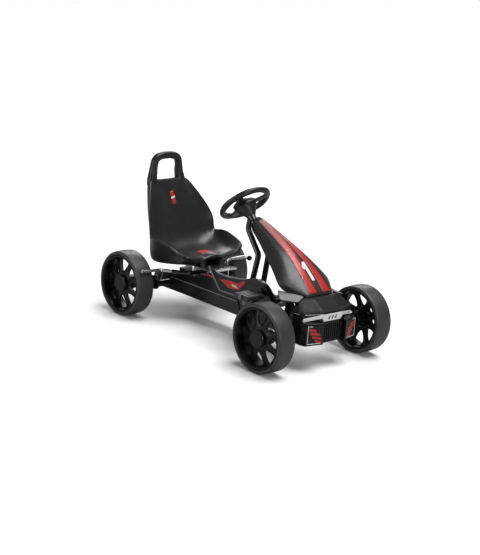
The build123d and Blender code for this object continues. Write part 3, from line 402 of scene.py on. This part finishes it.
def on_front(y):
    """Places a plate facing forward at this y: u along +X, v up, w forward."""
    return lambda u, v, w=0: (u, y - w, v)


def on_slant(start, end, side, lift):
    """Places a plate on an upright face that runs from start to end (x, y): u along it, v up."""
    start, end = Vector((*start, 0)), Vector((*end, 0))
    along = (end - start).normalized()
    forward = Vector((along.y, -along.x, 0))

    def place(u, v, w):
        point = start + along * u + forward * (lift + w)
        return (side * point.x, point.y, v)
    return place


# ---------------------------------------------------------------- wheels
WHEELS = {
    "rear_right": (-1, "rear_axle"),
    "rear_left": (1, "rear_left_wheel"),
    "front_right": (-1, "front_right_wheel"),
    "front_left": (1, "front_left_wheel"),
}
SPOKES = 8
SPOKE_RINGS, SPOKE_STEPS = 6, 24    # rows of faces from a sector's edge to its window, and faces in a row
DISC = (26.0, 105.0)                # inner and outer radius of the spoked disc
DISH = (21, 8)                      # how far outboard its face lies at those radii
DISC_THICK = 12
WINDOW = (49, 99)                   # inner and outer radius of a window
WINDOW_HALF = (7.5, 26.5)           # its half width at those radii


def between(pair, share):
    """The value at this share of the way from the first of a pair to the second."""
    return pair[0] + (pair[1] - pair[0]) * share


def spoke_point(t, share, front):
    """Distance outboard, radius and angle of a point in a sector: share 0 on its edge, 1 on its window."""
    reach = max(abs(cos(t)), abs(sin(t)))
    edge_radius = between(DISC, 0.5 + 0.5 * cos(t) / reach)
    edge_angle = pi / SPOKES * sin(t) / reach
    window_share = 0.5 + 0.5 * cos(t)
    window_radius = between(WINDOW, window_share)
    window_angle = between(WINDOW_HALF, window_share) * squared(sin(t), 0.75) / window_radius
    radius = between((edge_radius, window_radius), share)
    dish_share = max(0.0, (radius - DISC[0]) / (DISC[1] - DISC[0]))
    out = between(DISH, dish_share ** 1.3) - 4 * share ** 2.5
    if not front:
        out += 6 * share ** 3 - DISC_THICK * (1 - 0.8 * share ** 3)
    return out, radius, between((edge_angle, window_angle), share)


def spoke_disc(name, centre, side, body):
    """The moulded disc: eight rounded windows leave eight spokes that swell towards the rim."""
    points, faces = [], []
    for turn in turns(SPOKES):
        first = len(points)
        for front in (True, False):
            for ring in range(SPOKE_RINGS + 1):
                for t in turns(SPOKE_STEPS):
                    out, radius, angle = spoke_point(t, ring / SPOKE_RINGS, front)
                    points.append(on_axle(centre, side, out, radius, turn + angle))
        rows = [first + row * SPOKE_STEPS for row in range(2 * (SPOKE_RINGS + 1))]
        front_rows, back_rows = rows[:SPOKE_RINGS + 1], rows[SPOKE_RINGS + 1:]
        pairs = [*zip(front_rows, front_rows[1:]), *zip(back_rows, back_rows[1:]),
                 (front_rows[-1], back_rows[-1])]
        for a, b in pairs:
            faces += row_faces(a, b, SPOKE_STEPS)
    return mesh_piece(name, points, faces, "wheel_plastic", body, sharp=60)


# Turned profiles of (distance outboard, radius).
BARREL = ((34.5, 101.5), (37.0, 104), (37.4, 107.5), (36, 109), (32, 109), (0, 108.8), (-32, 109),
          (-35.5, 109), (-36.3, 107), (-35, 103.5), (-32, 103), (-4, 104), (8, 104), (20, 103))
HUB = ((25, 9), (25, 28.5), (23.5, 30), (8, 31.5), (-8, 30), (-31, 27), (-34, 25.5), (-34, 9))
HUB_BAND = ((24.2, 24.2), (24.2, 31.8), (25.4, 32.4), (32.0, 32.4), (33.2, 31.6), (33.2, 24.2))
HUB_FACE = ((32.6, 0.5), (32.6, 32.3), (34.0, 32.2), (35.6, 30.4), (35.9, 27.5), (35.0, 25.5), (35.2, 21),
            (36.2, 0.5))

for place, (side, body) in WHEELS.items():
    tyre_low, tyre_high = corners_of(f"tyre_{place}")
    centre = (tyre_low + tyre_high) / 2
    barrel = bevel(lathe(f"rim_barrel_{place}", BARREL, centre, side, "wheel_plastic", body), 0.6, 2)
    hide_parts(f"rim_{place}")
    spoke_disc(f"rim_spokes_{place}", centre, side, body)
    bevel(lathe(f"rim_hub_{place}", HUB, centre, side, "wheel_plastic", body), 1.0, 2)
    band = lathe(f"hub_band_{place}", HUB_BAND, centre, side, "silver", body, material=HUB_CHROME)
    bevel(band, 0.5, 2)
    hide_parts(f"hub_cap_{place}")
    lathe(f"hub_cap_{place}.face", HUB_FACE, centre, side, "wheel_plastic", body)


# ---------------------------------------------------------------- seat
# Each rib of the seat, front lip to top: inner face at the middle, at the thigh or back pad, at the
# foot of the bolster and at the rim; where the side wall ends (y, z); how deep the shell is behind.
SEAT_RIBS = (
    ((0, 158, 257), (66, 168, 239), (112, 166, 247), (150, 184, 264), (172, 250), 6),
    ((0, 162, 266), (66, 173, 246), (114, 172, 256), (159, 189, 278), (180, 240), 15),
    ((0, 188, 272), (66, 192, 251), (120, 192, 263), (165, 214, 289), (206, 227), 30),
    ((0, 224, 271), (68, 230, 246), (126, 228, 264), (168, 256, 299), (250, 220), 34),
    ((0, 264, 258), (70, 268, 244), (130, 266, 266), (169, 298, 309), (294, 210), 30),
    ((0, 304, 250), (72, 304, 246), (133, 304, 272), (168, 332, 308), (332, 206), 30),
    ((0, 332, 257), (74, 332, 257), (134, 338, 282), (160, 358, 299), (373, 206), 30),
    ((0, 354, 276), (75, 354, 278), (132, 356, 297), (158, 366, 314), (377, 262), 30),
    ((0, 374, 308), (75, 373, 309), (130, 368, 316), (158, 369, 334), (387, 322), 30),
    ((0, 391, 343), (73, 389, 344), (128, 381, 348), (156, 374, 358), (396, 350), 30),
    ((0, 413, 385), (69, 411, 386), (116, 404, 391), (142, 397, 399), (428, 391), 30),
    ((0, 434, 426), (60, 433, 426), (98, 428, 430), (122, 425, 438), (459, 430), 30),
    ((0, 454, 462), (52, 453, 462), (82, 451, 464), (104, 448, 470), (486, 464), 30),
    ((0, 469, 490), (46, 468, 490), (70, 467, 490), (90, 466, 491), (505, 486), 30),
    ((0, 475, 501), (44, 474, 501), (66, 474, 500), (83, 473, 499), (508, 497), 26),
)


def seat_loop(index):
    """The closed section of the seat at one rib, inner face first and then the shell behind it."""
    middle, pad, foot, rim, shell, deep = SEAT_RIBS[index]
    before = Vector(SEAT_RIBS[max(index - 1, 0)][0])
    after = Vector(SEAT_RIBS[min(index + 1, len(SEAT_RIBS) - 1)][0])
    along = (after - before).normalized()
    back = Vector((0, along.z, -along.y))
    middle, pad, foot, rim = (Vector(p) for p in (middle, pad, foot, rim))
    out = Vector((1, 0, 0))
    low = Vector((rim.x - 6, *shell))
    fall = (low - rim).normalized()
    # the bolster, a lip rolled over the rim, the side wall down to its foot, and the shell behind
    half = [middle, middle.lerp(pad, 0.55), pad, foot.lerp(pad, 0.45), foot, foot.lerp(rim, 0.55),
            rim - out * 6 + fall * 0.5, rim - fall * 2.5, rim + out * 5 - fall * 1.5,
            rim + out * 6 + fall * 4, rim + out * 1 + fall * 8, rim.lerp(low, 0.55) - out * 1,
            low.lerp(rim, 0.08), low - out * 14, foot.lerp(pad, 0.5) + back * (deep + 4),
            pad + back * (deep + 2), middle + back * deep]
    other = [Vector((-p.x, p.y, p.z)) for p in half[-2:0:-1]]
    return half + other


seat = loft("seat_moulding", [seat_loop(i) for i in range(len(SEAT_RIBS))], "seat_plastic", "seat")
smooth(seat)
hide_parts("seat_shell")

# the handle is a flattened hoop that grows out of the top of the back
HOOP = ((-71, 482, 478), (-69, 487, 498), (-65, 490, 520), (-61, 490, 555), (-55, 490, 573),
        (-42, 490, 584), (-22, 490, 589), (0, 490, 590), (22, 490, 589), (42, 490, 584),
        (55, 490, 573), (61, 490, 555), (65, 490, 520), (69, 487, 498), (71, 482, 478))


def hoop_loop(path, index, steps=20):
    """The handle's squared oval section, which slims as the hoop rises out of the back."""
    point = path[index]
    along = along_path(path, index)
    rearward = Vector(REARWARD)
    deep = (rearward - along * rearward.dot(along)).normalized()
    across = along.cross(deep)
    rise = min(1.0, max(0.0, (point.z - 480) / 70))
    wide = 22 - 7 * rise
    thick = 19 - 4 * rise
    return [point + across * wide * squared(cos(t), 0.7) + deep * thick * sin(t) for t in turns(steps)]


hoop_path = curve(HOOP, 5)
loft("seat_handle", [hoop_loop(hoop_path, i) for i in range(len(hoop_path))], "seat_plastic", "seat")

# four bosses carry the seat on its bracket
for side, word in SIDES:
    for y in (180, 290):
        path = [(side * 45, y, z) for z in (216, 218, 232, 246)]
        bevel(tube(f"seat_boss_{word}_{y}", path, 11, "seat_plastic", "seat", steps=32), 1.2)

seat_surface = surface_of(seat)


def back_place(u, v):
    """The front of the seat back seen square on: u across, v up."""
    return (u, 240, v)


def pan_place(u, v):
    """The seat pan seen from above: u across, v along the kart."""
    return (u, v, 420)


BACK_EMBLEM = ((-10, 404), (10, 410), (10, 456), (-10, 450))
BACK_BAR = ((-10, 424), (10, 430), (10, 436), (-10, 430))
PAN_EMBLEM = ((-36, 198), (34, 194), (40, 236), (-30, 240))
decal("back_emblem", BACK_EMBLEM, seat_surface, back_place, REARWARD, "red_graphic", "seat", spacing=5)
decal("back_emblem_bar", BACK_BAR, seat_surface, back_place, REARWARD, "silver", "seat",
      lift=1.0, spacing=4, material=WHITE_FILM)
decal("pan_emblem", PAN_EMBLEM, seat_surface, pan_place, DOWN, "red_graphic", "seat", spacing=5)


# ---------------------------------------------------------------- cowl
COWL = (
    # y, ridge z, half width, edge z, share of the fall at the crease, half width of the crease, skirt
    (-60, 461, 26, 450, 0.30, 14, 5),
    (-78, 458, 38, 436, 0.30, 17, 7),
    (-110, 448, 50, 411, 0.26, 21, 7),
    (-144, 436, 60, 388, 0.24, 25, 7),
    (-203, 411, 79, 352, 0.20, 31, 7),
    (-262, 382, 98, 322, 0.17, 37, 8),
    (-317, 344, 119, 288, 0.15, 44, 21),
    (-346, 320, 106, 280, 0.14, 47, 24),
    (-380, 290, 84, 267, 0.13, 51, 18),
    (-411, 261, 61, 254, 0.12, 54, 7),
    (-413, 255, 59, 250, 0.12, 53, 4),
    (-412, 247, 57, 246, 0.12, 52, 2),
)


def cowl_row(y, ridge, half, edge, shoulder, crease, skirt):
    """Points across the cowl: raised middle panel, a small step at each crease, crowned flanks."""
    fall = ridge - edge
    crease_z = ridge - fall * shoulder
    right = [(0, y, ridge), (crease * 0.55, y, ridge - fall * shoulder * 0.4), (crease, y, crease_z),
             (crease + 2.5, y, crease_z - 2.6)]
    for share in (0.3, 0.55, 0.78, 0.93):
        x = crease + 2.5 + (half - crease - 2.5) * share
        z = crease_z - 2.6 - (crease_z - 2.6 - edge) * share ** 1.5
        right.append((x, y, z))
    right += [(half, y, edge), (half + 1, y, edge - 4), (half - 2, y, edge - skirt)]
    return [(-p[0], *p[1:]) for p in right[:0:-1]] + right


cowl = loft("cowl_moulding", [cowl_row(*station) for station in COWL], "gloss_black", "chassis",
            ring=False, material=COWL_BLACK)
thicken(cowl, 3.6, -1)
smooth(cowl)
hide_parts("cowl")
cowl_surface = surface_of(cowl)


def cowl_place(u, v):
    """The cowl seen from above: u across, v along the kart."""
    return (u, v, 700)


STRIPE = ((0.6, -84), (1.0, -144), (1.6, -205), (4, -262), (11, -305), (14.5, -330), (16, -380), (14, -409),
          (51, -409), (48, -380), (42, -330), (34.5, -262), (28.5, -205), (23, -144), (17, -84))
NUMBER_ONE = ((-7, -374), (-7, -331), (-13, -337), (-18, -327), (-5, -309), (7, -309), (7, -374))
for side, word in SIDES:
    outline = [(side * u, v) for u, v in STRIPE]
    decal(f"cowl_stripe_{word}", outline, cowl_surface, cowl_place, DOWN, "red_graphic", "chassis",
          material=STRIPE_RED)
decal("cowl_number", NUMBER_ONE, cowl_surface, cowl_place, DOWN, "silver", "chassis",
      lift=1.0, material=WHITE_FILM)


# ---------------------------------------------------------------- deck, wings and bumper
nose_y = corners_of("front_deck")[0].y
deck_low = corners_of("front_deck")[0].z
bumper_low = corners_of("bumper")[0].z
POD_TOP, NOSE_WALL = 176, 3
# Half outlines seen from above, from the middle of the nose to the open rear.
NOSE_EDGE = ((0, nose_y), (42, nose_y), (119, -453), (124, -440), (124, -412))
POD_EDGE = ((0, nose_y), (55, nose_y), (56, -497), (120, nose_y), (127, -460), (124, -412))
LEDGE_EDGE = ((0, nose_y + 1), (55, nose_y + 1), (56, nose_y + 2), (116, -456), (121, -447), (121, -412))


def outline_loop(half, z, shrink=0.0):
    """An open loop round the nose at this height, pulled in evenly towards the rear middle."""
    right = [(x - shrink * (x > 0), y + shrink, z) for x, y in half]
    return [(-x, y, z) for x, y, z in right[:0:-1]] + right


def shell(name, loops, edge, angle, node=None, **look):
    """An open moulding with an even wall."""
    piece = loft(name, loops, "gloss_black", "chassis", ring=False, **look)
    thicken(piece, NOSE_WALL, 1)
    bevel(piece, edge, 3, angle=angle)
    if node:
        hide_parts(node)
    return piece


DECK_STEPS = (
    # z, then half outlines of each step of the deck
    (204.5, ((0, -478.5), (42, -478.5), (118.5, -452.5), (123.5, -440), (123.5, -412))),
    (210, ((0, -477.5), (42, -477.5), (117.5, -451.5), (122.5, -439), (122.5, -410))),
    (212.5, ((0, -472), (41, -472), (113, -447), (119, -436), (119, -408))),
    (226, ((0, -455), (42, -455), (103, -432), (110, -424), (110, -402))),
    (228.5, ((0, -451), (42, -451), (101, -429), (108, -421), (108, -400))),
    (243.5, ((0, -430), (43, -430), (89, -414), (97, -406), (97, -393))),
    (246, ((0, -424), (43, -424), (86, -410), (94, -402), (94, -392))),
)
deck_loops = [outline_loop(half, z) for z, half in DECK_STEPS]
deck_back = [(x, -396, 247) for x, _, _ in deck_loops[-1]]
shell("deck_moulding", deck_loops + [deck_back], 1.2, 10, "front_deck", material=DECK_BLACK)

WING = ((108, -306, 255), (72, -408, 251), (114, -419, 236), (140, -354, 230))


def wing_place(side, lift):
    """Puts a point given as shares along and across the wing in the kart."""
    a, b, c, d = (Vector(corner) for corner in WING)
    normal = (b - a).cross(d - a).normalized()
    if normal.z < 0:
        normal = -normal

    def place(u, v, w):
        point = a.lerp(b, u).lerp(d.lerp(c, u), v) + normal * (lift + w)
        return (side * point.x, point.y, point.z)
    return place


# outline of a wing and of its raised panel, as shares along and across
WING_EDGE = ((0, 0.06), (0.06, 0), (0.96, 0), (1, 0.10), (1, 0.86), (0.90, 1), (0.12, 1), (0, 0.88))
WING_PANEL = [(0.03 + 0.94 * u, 0.03 + 0.86 * v) for u, v in WING_EDGE]
for side, word in SIDES:
    wing = plate(f"wing_{word}", WING_EDGE, wing_place(side, 0), 4, "grey_plastic", "chassis", edge=1.6,
                 material=DECK_BLACK)
    plate(f"wing_panel_{word}", WING_PANEL, wing_place(side, 3.6), 1.5, "grey_plastic", "chassis",
          edge=0.7, material=WING_GREY)
    if side > 0:
        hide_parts("side_wings")

pod_loops = [outline_loop(POD_EDGE, z, shrink) for z, shrink in
             ((bumper_low, 5), (bumper_low + 4, 1), (bumper_low + 10, 0), (POD_TOP - 8, 0), (POD_TOP - 2, 2))]
ledge = outline_loop(LEDGE_EDGE, POD_TOP + 1)
shell("bumper_moulding", [*pod_loops, ledge], 1.6, 20, "bumper")
collar_loops = [outline_loop(NOSE_EDGE, z, shrink) for z, shrink in
                ((POD_TOP, 2), (POD_TOP + 4, 1), (deck_low, 0.5))]
shell("bumper_collar", collar_loops, 1.0, 20)

SLATS, SLAT_PITCH, SLAT_HALF = 9, 10.5, 3
GRILLE_SURROUND = ((-52, 100), (52, 100), (52, 168), (48, 172), (-48, 172), (-52, 168))
plate("grille_surround", GRILLE_SURROUND, on_front(nose_y), 1.6, "wheel_plastic", "chassis", edge=0.6)
for index in range(SLATS):
    u = SLAT_PITCH * (index - (SLATS - 1) / 2)
    left, right = u - SLAT_HALF, u + SLAT_HALF
    outline = [(left, 105), (right, 105), (right, 167), (left, 167)]
    plate(f"grille_slat_{index}", outline, on_front(nose_y - 1.6), 4.0, "wheel_plastic",
                       "chassis", edge=1.3)
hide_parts("grille")

# lamp panels: outlines on the slanted face of each pod, outwards from its inner edge
POD_FACE = POD_EDGE[2:4]
LAMP = ((3, 104), (60, 102), (64, 106), (64, 170), (60, 173), (34, 171), (3, 152))
LAMP_LINE = ((61, 105), (63, 105), (63, 171), (44, 170), (44, 168), (61, 169))
LAMP_FOOT = ((10, 106.5), (62, 104.5), (62, 106.5), (10, 108.5))
SLASHES = (
    # low and high at the outer end, then the inner and outer ends
    (112, 122, 5, 32),
    (126, 136, 7, 43),
    (140, 150, 12, 53),
    (154, 164, 27, 58),
)
for side, word in SIDES:
    lens = plate(f"lamp_surround_{word}", LAMP, on_slant(*POD_FACE, side, 0), 2.6, "gloss_black", "chassis",
                 edge=0.9)
    on_lens = on_slant(*POD_FACE, side, 2.4)
    if side > 0:
        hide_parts("headlight_panels")
    plate(f"lamp_line_{word}", LAMP_LINE, on_lens, 1.0, "silver", "chassis", edge=0.4)
    plate(f"lamp_foot_{word}", LAMP_FOOT, on_lens, 1.0, "silver", "chassis", edge=0.4)
    for index, (low, high, start, end) in enumerate(SLASHES):
        slash = ((start, low - 6), (end, low), (end + 2, high), (start + 3, high - 7))
        plate(f"lamp_slash_{word}_{index}", slash, on_lens, 0.8, "red_graphic", "chassis", edge=0.3)

# the bright strip follows the slanted flanks of the nose, and its middle plate hangs lower
NOSE_FLANK = NOSE_EDGE[1:3]
STRIP_ARM = ((-1, 190.5), (78, 179), (81, 181), (81, 188), (78, 191.5), (-1, 203.5))
STRIP_MIDDLE = ((-46, 203.5), (-49, 190), (-41, 177.5), (41, 177.5), (49, 190), (46, 203.5))
STRIP_MARK = ((-5.5, 184), (0.5, 184), (5.5, 197), (-0.5, 197))
MARK_PITCH = 16
for side, word in SIDES:
    arm = plate(f"strip_arm_{word}", STRIP_ARM, on_slant(*NOSE_FLANK, side, 0.2), 3.0, "silver", "chassis",
                edge=0.9)
    if word == "right":
        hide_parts("front_strip")
plate("strip_middle", STRIP_MIDDLE, on_front(nose_y), 3.4, "silver", "chassis", edge=1.0)
for index in range(3):
    mark = [(u + MARK_PITCH * (index - 1), v) for u, v in STRIP_MARK]
    plate(f"strip_mark_{index}", mark, on_front(nose_y - 3.2), 0.7, "gloss_black", "chassis", edge=0.25)


# ---------------------------------------------------------------- steering wheel
steer_centre = pivot_of("steering_turn")


def on_wheel(across, down, up=0.0):
    """A point given on the steering wheel as its driver sees it, raised towards the driver."""
    return steer_centre + Vector((across, 0, 0)) + wheel_down * down + column * up


RING_R, GRIP_R = 91.0, 11.8
ring_loops = []
for angle in turns(96):
    reach = RING_R - 5.5 * max(0.0, sin(angle)) ** 6        # flattened at 6 o'clock
    grip = GRIP_R * (1 + 0.05 * cos(6 * angle))             # six swellings under the fingers
    outward = Vector((cos(angle), 0, 0)) + wheel_down * sin(angle)
    middle = on_wheel(0, 0) + outward * reach
    ring_loops.append(oval(middle, outward * grip, column * grip * 0.94, 24))
ring_loops.append(ring_loops[0])
ring = loft("steering_ring", ring_loops, "grip", "steering", caps=False)
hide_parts("steering_wheel")

SPOKE_FOOT, SPOKE_TIP, SPOKE_HALF = 22, 88, 5.5     # where a spoke starts and ends, half its thickness
WHEEL_SPOKES = (
    # name, degrees clockwise from 3 o'clock, half width where it is narrowest, half width at the foot
    ("right", 214, 15, 21),
    ("left", -34, 15, 21),
    ("lower", 90, 27, 34),
)
for word, degrees, narrow, wide in WHEEL_SPOKES:
    spoke_loops = []
    angle = radians(degrees)
    outward = Vector((cos(angle), 0, 0)) + wheel_down * sin(angle)
    sideways = Vector((-sin(angle), 0, 0)) + wheel_down * cos(angle)
    for share in (0, 0.2, 0.4, 0.6, 0.8, 1.0):
        reach = SPOKE_FOOT + (SPOKE_TIP - SPOKE_FOOT) * share
        flare = 20 * max(0, share - 0.75)
        half = wide + (narrow - wide) * sin(pi / 2 * min(1, share * 1.3)) + flare
        middle = steer_centre + outward * reach - column * (7 - 5 * share)
        spoke_loops.append(oval(middle, sideways * half, column * SPOKE_HALF, 16))
    smooth(loft(f"steering_spoke_{word}", spoke_loops, "grip", "steering"), 1)

BOOT = (
    # height above the wheel's plane, half width, half depth, how far it is set towards 6 o'clock
    (-3, 38, 36, 3), (-9, 42, 40, 3), (-17, 42, 40, 3), (-30, 34, 33, 0), (-44, 25, 25, 0),
    (-54, 19, 19, 0), (-60, 17.5, 17.5, 0),
)
boot_loops = []
for up, wide, deep, hang in BOOT:
    boot_loops.append([on_wheel(wide * cos(t), deep * sin(t) + hang, up) for t in turns(32)])
smooth(loft("steering_boot", boot_loops, "grip", "steering"), 1)

PAD_HALF = (44, 35)
# height above the wheel's plane, and the pad's size there as a share of PAD_HALF
PAD = ((-6, 0.94), (-2, 1.0), (4, 0.98), (8.5, 0.88), (10.5, 0.70), (11.2, 0.35), (11.3, 0.05))
pad_loops = []
for up, size in PAD:
    pad_loop = []
    for t in turns(40):
        across = PAD_HALF[0] * size * squared(cos(t), 0.55)
        down = PAD_HALF[1] * size * squared(sin(t), 0.55) + 5
        pad_loop.append(on_wheel(across * (1 - 0.12 * max(0, sin(t))), down, up))
    pad_loops.append(pad_loop)
pad = loft("steering_pad", pad_loops, "grip", "steering")
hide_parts("steering_wheel_pad")


# ---------------------------------------------------------------- brake
# a black sleeve covers the middle of the bright brake bar
SLEEVE = ((140, 245.6, 192.3), (120, 225.4, 191.3), (102, 207.1, 190.4), (94.5, 202, 190.1),
          (85, 200, 190), (40, 200, 190))
sleeve_path = [*SLEEVE, *[(-x, y, z) for x, y, z in reversed(SLEEVE)]]
tube("brake_sleeve", sleeve_path, 8.0, "black_metal", "brake", steps=24)


# ---------------------------------------------------------------- chain case and side panel
GUARD_Y, GUARD_Z, GUARD_R, GUARD_DEPTH = -165, 165, 94, 30
GUARD_FROM, GUARD_TO = 63, 297       # degrees: the guard is open towards the rear
RINGS = ((74, 2.2), (40, 2.0))       # radius and half width of the rings moulded on the guard

guard_edge = []
for step in range(21):
    angle = radians(GUARD_FROM + (GUARD_TO - GUARD_FROM) * step / 20)
    guard_edge.append((GUARD_Y + GUARD_R * cos(angle), GUARD_Z + GUARD_R * sin(angle)))
outline = [(94, 246), (49, 197), (25, 170), (-84, 162), (-99, 108), *reversed(guard_edge),
           (-74, 238), (-19, 230), (38, 229)]
side_panel = plate("side_panel_base", outline, on_side(case_face), 3.8, "gloss_black", "chassis", edge=1.8)
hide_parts("side_panel")

FLANGE = ((0, -3), (0, 0), (10, 0.5), (GUARD_DEPTH - 5, -3), (GUARD_DEPTH - 4, -6), (10, -3))
flange_loops = []
for y, z in guard_edge:
    outward = Vector((0, y - GUARD_Y, z - GUARD_Z)).normalized()
    foot = Vector((case_face - 1, y, z)) - outward * 1.5
    flange_loops.append([foot + Vector((across, 0, 0)) + outward * rise for across, rise in FLANGE])
loft("guard_flange", flange_loops, "gloss_black", "chassis")
for radius, half in RINGS:
    profile = ((0, radius - half), (1.6, radius - half + 0.6), (1.6, radius + half - 0.6), (0, radius + half))
    lathe(f"guard_ring_{radius}", profile, (case_face - 3.6, GUARD_Y + 12, GUARD_Z - 2), -1, "gloss_black",
          "chassis")

RIB = ((92, 246), (46, 196), (22, 171), (-46, 173), (-90, 177), (-90, 172), (-46, 167), (20, 165), (27, 167),
       (52, 193), (98, 244))
# the ridge along the side panel's top edge is a raised strip coloured light grey as a painted highlight of that
# edge
RIDGE_HIGHLIGHT = ((40, 233), (-20, 233.5), (-74, 240), (-116, 248), (-116, 243), (-74, 235), (-20, 228), (38, 227))
RED_PANEL = ((31, 211), (-31, 219), (-70, 218), (-112, 238), (-108, 225), (-89, 196), (-23, 189))
RED_SLASH = ((116, 205), (102, 210), (44, 209), (52, 202))
FLASH = ((-40, 209), (-68, 208), (-76, 199), (-44, 201))
crank_y = pivot_of("crank_spin").y
CASE_BAND = ((crank_y + 40, 109), (322, 103), (330, 118), (330, 136), (318, 147), (crank_y + 52, 150))
# the thin grey line along the top of the chain case band is a painted highlight of the band's upper edge
CASE_HIGHLIGHT_LINE = ((312, 149), (-74, 153), (-74, 149.5), (312, 145.5))
# name, outline, how far it starts off the case's face, thickness, edge rounding, slot and material
for name, outline, lift, thickness, edge, slot, material in (
        ("side_panel_rib", RIB, 1.5, 4.2, 1.4, "grey_plastic", GREY_RIB_AND_HIGHLIGHT),
        ("side_panel_ridge_highlight", RIDGE_HIGHLIGHT, 1.5, 4.0, 1.3, "grey_plastic", GREY_RIB_AND_HIGHLIGHT),
        ("side_panel_red", RED_PANEL, 3.4, 1.0, 0.4, "red_graphic", None),
        ("side_slash", RED_SLASH, 0, 1.6, 0.5, "red_graphic", None),
        ("side_panel_flash", FLASH, 4.2, 0.8, 0.3, "silver", SAND_FILM),
        ("chain_case_band", CASE_BAND, 0, 2.6, 1.1, "gloss_black", None),
        ("chain_case_highlight_line", CASE_HIGHLIGHT_LINE, 2.2, 1.2, 0.5, "grey_plastic", GREY_RIB_AND_HIGHLIGHT)):
    plate(name, outline, on_side(case_face - lift), thickness, slot, "chassis", edge=edge,
          material=material)


# ---------------------------------------------------------------- floor, light and camera
SKY_SEEN, SKY_LIGHT = 1.0, 0.22         # strength of the sky behind the kart, and as it lights the kart
FLOOR_SEEN, FLOOR_BOUNCE = 0.985, 0.42  # paleness of the floor to the camera, and as it lights the kart
SUN_STRENGTH, SUN_SPREAD = 2.7, radians(40)
SUN_TILT = (radians(12), radians(10), 0)


def by_camera_ray(tree, seen, unseen, socket):
    """Give a value socket one strength where the camera looks straight at it and another elsewhere."""
    rays = tree.nodes.new("ShaderNodeLightPath")
    choice = tree.nodes.new("ShaderNodeMapRange")
    choice.inputs["To Min"].default_value = unseen
    choice.inputs["To Max"].default_value = seen
    tree.links.new(rays.outputs["Is Camera Ray"], choice.inputs["Value"])
    tree.links.new(choice.outputs["Result"], socket)


def floor_finish():
    """Plain pale paper that throws little light back up at the kart."""
    material = bpy.data.materials.new("studio_floor")
    material.use_nodes = True
    surface = material.node_tree.nodes["Principled BSDF"]
    surface.inputs["Roughness"].default_value = 0.9
    by_camera_ray(material.node_tree, FLOOR_SEEN, FLOOR_BOUNCE, surface.inputs["Base Color"])
    return material


bpy.ops.mesh.primitive_plane_add(size=60, location=(0, 0, 0))
floor = bpy.context.object
floor.name = "floor"
floor.data.materials.append(floor_finish())
floor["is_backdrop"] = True

bpy.context.scene.view_settings.view_transform = "Standard"
world = bpy.data.worlds.new("studio")
world.use_nodes = True
bpy.context.scene.world = world
sky = world.node_tree.nodes["Background"]
by_camera_ray(world.node_tree, SKY_SEEN, SKY_LIGHT, sky.inputs["Strength"])
sky.inputs["Color"].default_value = (1, 1, 1, 1)


def softbox(name, position, target, width, height, power):
    """A rectangular lamp turned towards a target."""
    light = bpy.data.lights.new(name, "AREA")
    light.shape = "RECTANGLE"
    light.size = width
    light.size_y = height
    light.energy = power
    lamp = bpy.data.objects.new(name, light)
    lamp.location = position
    lamp.rotation_euler = (Vector(target) - Vector(position)).to_track_quat("-Z", "Y").to_euler()
    bpy.context.scene.collection.objects.link(lamp)


daylight = bpy.data.lights.new("daylight", "SUN")
daylight.energy = SUN_STRENGTH
daylight.angle = SUN_SPREAD
overhead = bpy.data.objects.new("daylight", daylight)
overhead.rotation_euler = SUN_TILT
bpy.context.scene.collection.objects.link(overhead)
softbox("side_strip", (-2.6, 0.9, 0.9), (0, 0.1, 0.3), 0.5, 1.6, 16)
softbox("front_strip", (-0.7, -2.8, 1.1), (0, 0, 0.25), 1.4, 0.4, 15)
softbox("back_strip", (2.4, 2.6, 2.2), (0, 0, 0.25), 2.6, 1.0, 45)

AZIMUTH, ELEVATION, ROLL = radians(-42.59), radians(15.03), radians(4.31)
DISTANCE = 5.245
LENS, SENSOR, SHIFT_Y = 90.81, 36, -0.0045
target = Vector((-0.01253, 0, 0.22338))
back = Vector((sin(AZIMUTH) * cos(ELEVATION), -cos(AZIMUTH) * cos(ELEVATION), sin(ELEVATION)))
right = (-back).cross(Vector((0, 0, 1))).normalized()
up = right.cross(-back)
rolled_right = right * cos(ROLL) + up * sin(ROLL)
rolled_up = up * cos(ROLL) - right * sin(ROLL)
camera_data = bpy.data.cameras.new("camera")
camera_data.sensor_width = SENSOR
camera_data.lens = LENS
camera_data.shift_y = SHIFT_Y
camera = bpy.data.objects.new("camera", camera_data)
camera.matrix_world = Matrix((rolled_right, rolled_up, back)).transposed().to_4x4()
camera.location = target + back * DISTANCE
bpy.context.scene.collection.objects.link(camera)
bpy.context.scene.camera = camera

low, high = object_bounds()
